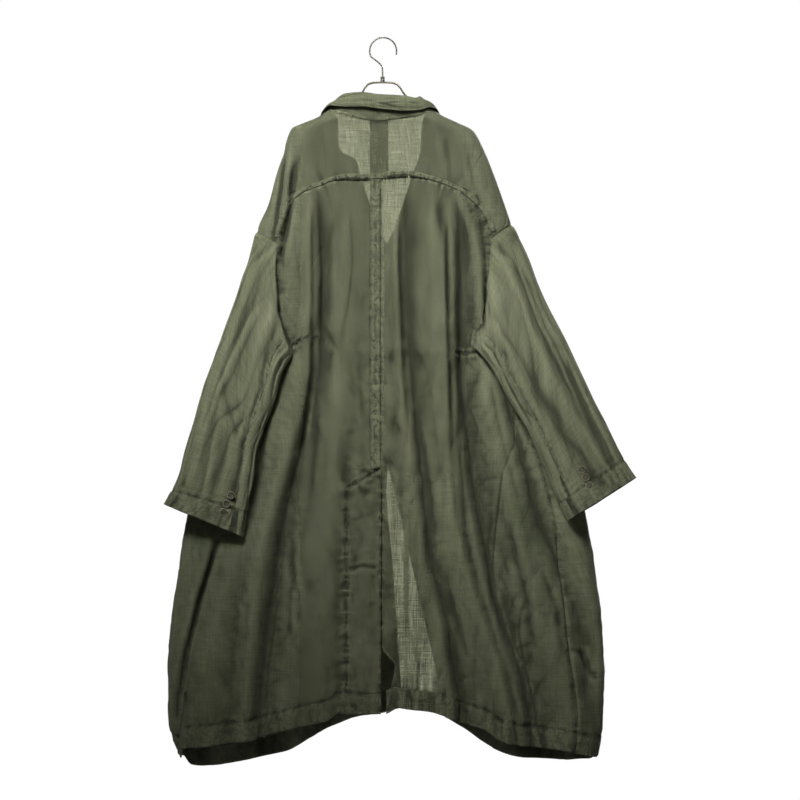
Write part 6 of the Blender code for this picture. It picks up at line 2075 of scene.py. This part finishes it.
@dataclass
class Buttons:
    """Four-hole horn buttons, modelled once and copied onto each CAD button's place."""

    horn: Finish
    thread: Finish
    hole: float = 0.17

    def model(self) -> Piece:
        """Turn one button of radius 1 and height 0.36, with a rim, a dish and four holes."""
        start_fresh()
        bpy.ops.mesh.primitive_cylinder_add(vertices=48, radius=1.0, depth=0.26, location=(0, 0, 0.13))
        button = bpy.context.active_object
        to_mode("EDIT", "DESELECT")
        to_mode("OBJECT")
        max(button.data.polygons, key=lambda face: face.center.z).select = True
        bpy.ops.object.mode_set(mode="EDIT")
        bpy.ops.mesh.inset(thickness=0.1)
        bpy.ops.transform.translate(value=(0, 0, 0.09))
        bpy.ops.mesh.inset(thickness=0.12)
        bpy.ops.mesh.inset(thickness=0.1)
        bpy.ops.transform.translate(value=(0, 0, -0.13))
        drills = []
        for x, y in ((1, 1), (-1, 1), (1, -1), (-1, -1)):
            start_fresh()
            bpy.ops.mesh.primitive_cylinder_add(vertices=14, radius=0.085, depth=1.0,
                                                location=(x * self.hole, y * self.hole, 0))
            drills.append(bpy.context.active_object)
        soften(button, 0.035, 2, 25, drills)
        start_fresh(button)
        bpy.ops.object.shade_smooth_by_angle(angle=math.radians(35))
        places = vertex_places(button.data)
        radii = np.hypot(places[:, 0], places[:, 1])
        # A painted highlight: the rim, and weaker the middle, are marked to be paler.
        pale = (ease((radii - 0.72) / 0.1) + ease((0.5 - radii) / 0.1) * 0.4).astype(np.float32)
        button.data.attributes.new("rim", "FLOAT", "POINT").data.foreach_set("value", pale)
        return button

    def stitches(self) -> Piece:
        """Model the two thread bars that cross a button of radius 1."""
        bars = []
        for y in (self.hole, -self.hole):
            start_fresh()
            bpy.ops.mesh.primitive_cylinder_add(vertices=8, radius=0.06, depth=0.4, location=(0, y, 0.245),
                                                rotation=(0, math.pi / 2, 0))
            to_mode("EDIT")
            bpy.ops.mesh.subdivide(number_cuts=3)
            to_mode("OBJECT")
            bars.append(settle_mesh(bpy.context.active_object))
            for vertex in bars[-1].data.vertices:
                vertex.co.z -= 1.6 * vertex.co.x**2
        start_fresh(*bars)
        bpy.ops.object.join()
        return bars[0]

    def seat(self, node: str, button: Piece, thread: Piece) -> None:
        """Put a copy of the button and its thread where a CAD button lies.

        Args:
            node: The CAD button's name.
            button: The button to copy.
            thread: The thread bars to copy.
        """
        points = np.unique(np.round(vertex_places(bpy.data.objects[node].data), 6), axis=0)
        middle = (points.max(axis=0) + points.min(axis=0)) / 2
        out = np.linalg.svd(points - points.mean(axis=0))[2][2]
        out = out * np.sign(out[1] * (1.0 if node.startswith("front") else -1.0))
        across = unit(np.cross(out, (0.0, 0.0, 1.0)))
        radius, half = (float(np.abs((points - middle) @ way).max()) for way in (across, out))
        place = Matrix.Identity(4)
        for column, vector in enumerate((across, np.cross(out, across), out)):
            for row in range(3):
                place[row][column] = vector[row] * radius
        place.translation = Vector(middle - out * half + out * 1.3 * MM)
        for source, finish, role, label in (
            (button, self.horn, Role("button_horn", (node,)), node + "_disc"),
            (thread, self.thread, Role("linen"), node + "_thread"),
        ):
            mesh = source.data.copy()
            mesh.transform(place)
            settle(linked(label, mesh), finish, role)

    def build(self) -> int:
        """Model the button, seat every copy and return how many there are."""
        button, thread = self.model(), self.stitches()
        names = sorted(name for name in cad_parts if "button" in name)
        for node in names:
            self.seat(node, button, thread)
        for source in (button, thread):
            bpy.data.objects.remove(source, do_unlink=True)
        return len(names)


# Stage


@dataclass
class Studio:
    """A pale floor, soft lights and the camera at the photograph's angle."""

    distance: float = 5.4
    view_width: float = 1.52
    middle: tuple[float, float] = (0.03325, -0.6916)
    floor_level: float = -2.0

    def camera(self) -> None:
        """Set the camera square to the coat's back."""
        data = bpy.data.cameras.new("camera")
        data.sensor_width, data.clip_end = 36.0, 60.0
        data.lens = data.sensor_width * self.distance / self.view_width
        camera = linked("camera", data)
        camera.location = (self.middle[0], -0.035 - self.distance, self.middle[1])
        camera.rotation_euler = (math.pi / 2, 0, 0)
        bpy.context.scene.camera = camera

    def light(self, name: str, place: Colour, size: float, power: float, aim: float = -0.7,
              spread: float = 180.0) -> None:
        """Hang a square soft light that looks at the coat.

        Args:
            name: The light's name.
            place: Where it hangs.
            size: Its side's length.
            power: Its power in watts.
            aim: The height that it looks at.
            spread: Its beam's angle in degrees.
        """
        data = bpy.data.lights.new(name, "AREA")
        data.size, data.energy, data.spread = size, power, math.radians(spread)
        lamp = linked(name, data)
        lamp.location = place
        lamp.rotation_euler = (Vector((0.0, 0.0, aim)) - Vector(place)).to_track_quat("-Z", "Y").to_euler()

    def floor(self) -> None:
        """Lay the plain floor, which looks pale to the camera in a dim room."""
        start_fresh()
        bpy.ops.mesh.primitive_circle_add(vertices=96, radius=3.2, fill_type="NGON",
                                          location=(0, 0, self.floor_level))
        floor = bpy.context.active_object
        floor.name = "floor"
        finish, hand, shader, _ = start_finish("studio_floor")
        seen = hand.add("ShaderNodeLightPath").outputs["Is Camera Ray"]
        hand.feed(shader, {
            "Base Color": (0.82, 0.82, 0.81, 1), "Roughness": 0.9, "Emission Color": (1, 1, 1, 1),
            "Emission Strength": hand.math("MULTIPLY", seen, 0.62)})
        floor.data.materials.append(finish)

    def world(self) -> None:
        """Make the surroundings white to the camera and softer as a light, with painted light where they are
        seen through the sheer cloth: tinted yellow-green and brighter than white.
        """
        world = bpy.data.worlds.new("studio")
        bpy.context.scene.world = world
        world.use_nodes = True
        hand = Nodes(world.node_tree)
        paths = hand.add("ShaderNodeLightPath").outputs
        # Painted light: behind the sheer cloth the backdrop is tinted yellow-green and brighter, standing in
        # for light coloured by passing through the linen.
        through = hand.math("MINIMUM", paths["Transparent Depth"], 1.0)
        hand.feed(world.node_tree.nodes["Background"], {
            0: hand.mix(through, (1, 1, 1), (1.15, 1.2, 0.82)),
            1: hand.remap(paths["Is Camera Ray"], 0.0, 1.0, 0.035, 1.0)})

    def build(self) -> None:
        """Build the stage."""
        self.camera()
        self.world()
        self.floor()
        self.light("key", (-0.75, -1.9, 1.4), 1.2, 9.8, -0.26, 34)
        self.light("fill", (1.8, -3.8, 0.2), 2.4, 6)
        self.light("behind", (1.3, 3.2, 0.7), 1.6, 19, -0.62, 44)
        self.light("side", (-2.4, -2.6, -0.8), 1.2, 0.7, -1.0)
        bpy.context.scene.view_settings.view_transform = "Standard"


def main() -> None:
    """Build the coat, its hanger and the studio."""
    logging.basicConfig(level=logging.INFO, format="%(message)s")
    groups = weave_group(), wash_group()
    linen = LinenFinish("linen_cloth").build(*groups)
    sheer = LinenFinish("linen_sheer", cover=0.65, slub=0.17).build(*groups)
    # The inside finish is a darker copy of the linen: painted shade on the hems, strips and facings inside
    # the coat.
    inside = LinenFinish("linen_inner_painted_shade", (0.052, 0.061, 0.034), (0.098, 0.106, 0.066)).build(*groups)
    # The collar's finish, dense, is a darker copy of the linen: painted shade on the collar.
    dense = LinenFinish("linen_collar_painted_shade", (0.058, 0.066, 0.036), (0.108, 0.114, 0.07)).build(*groups)
    steel = MetalFinish("hook_steel", (0.2, 0.195, 0.17), (0.11, 0.105, 0.09), (0.46, 0.6)).build()
    nickel = MetalFinish("frame_nickel", (0.27, 0.25, 0.18), (0.15, 0.13, 0.09), (0.42, 0.58)).build()
    thread, horn = ThreadFinish("sewing_thread").build(), HornFinish("button_horn_finish").build()

    Studio().build()
    lines = SeamLines(BodyForm())
    stitching = Stitching(thread)
    Yoke(lines, sheer, inside, stitching).build()
    BackPanels(lines, sheer, inside, stitching).build()
    for side in Side:
        Front(lines, linen, inside, stitching, side).build()
        Sleeve(lines, linen, inside, stitching, side).build()
    Collar(dense, stitching).build()
    hanger = Hanger(steel, nickel)
    for piece in (hanger.hook(), hanger.ferrule()):
        LOG.info("%s: %d faces", piece.name, len(piece.data.polygons))
    hanger.frame()
    LOG.info("buttons: %d", Buttons(horn, thread).build())
    start_fresh()
    bpy.context.view_layer.update()
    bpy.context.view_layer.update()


if __name__ == "__main__":
    main()
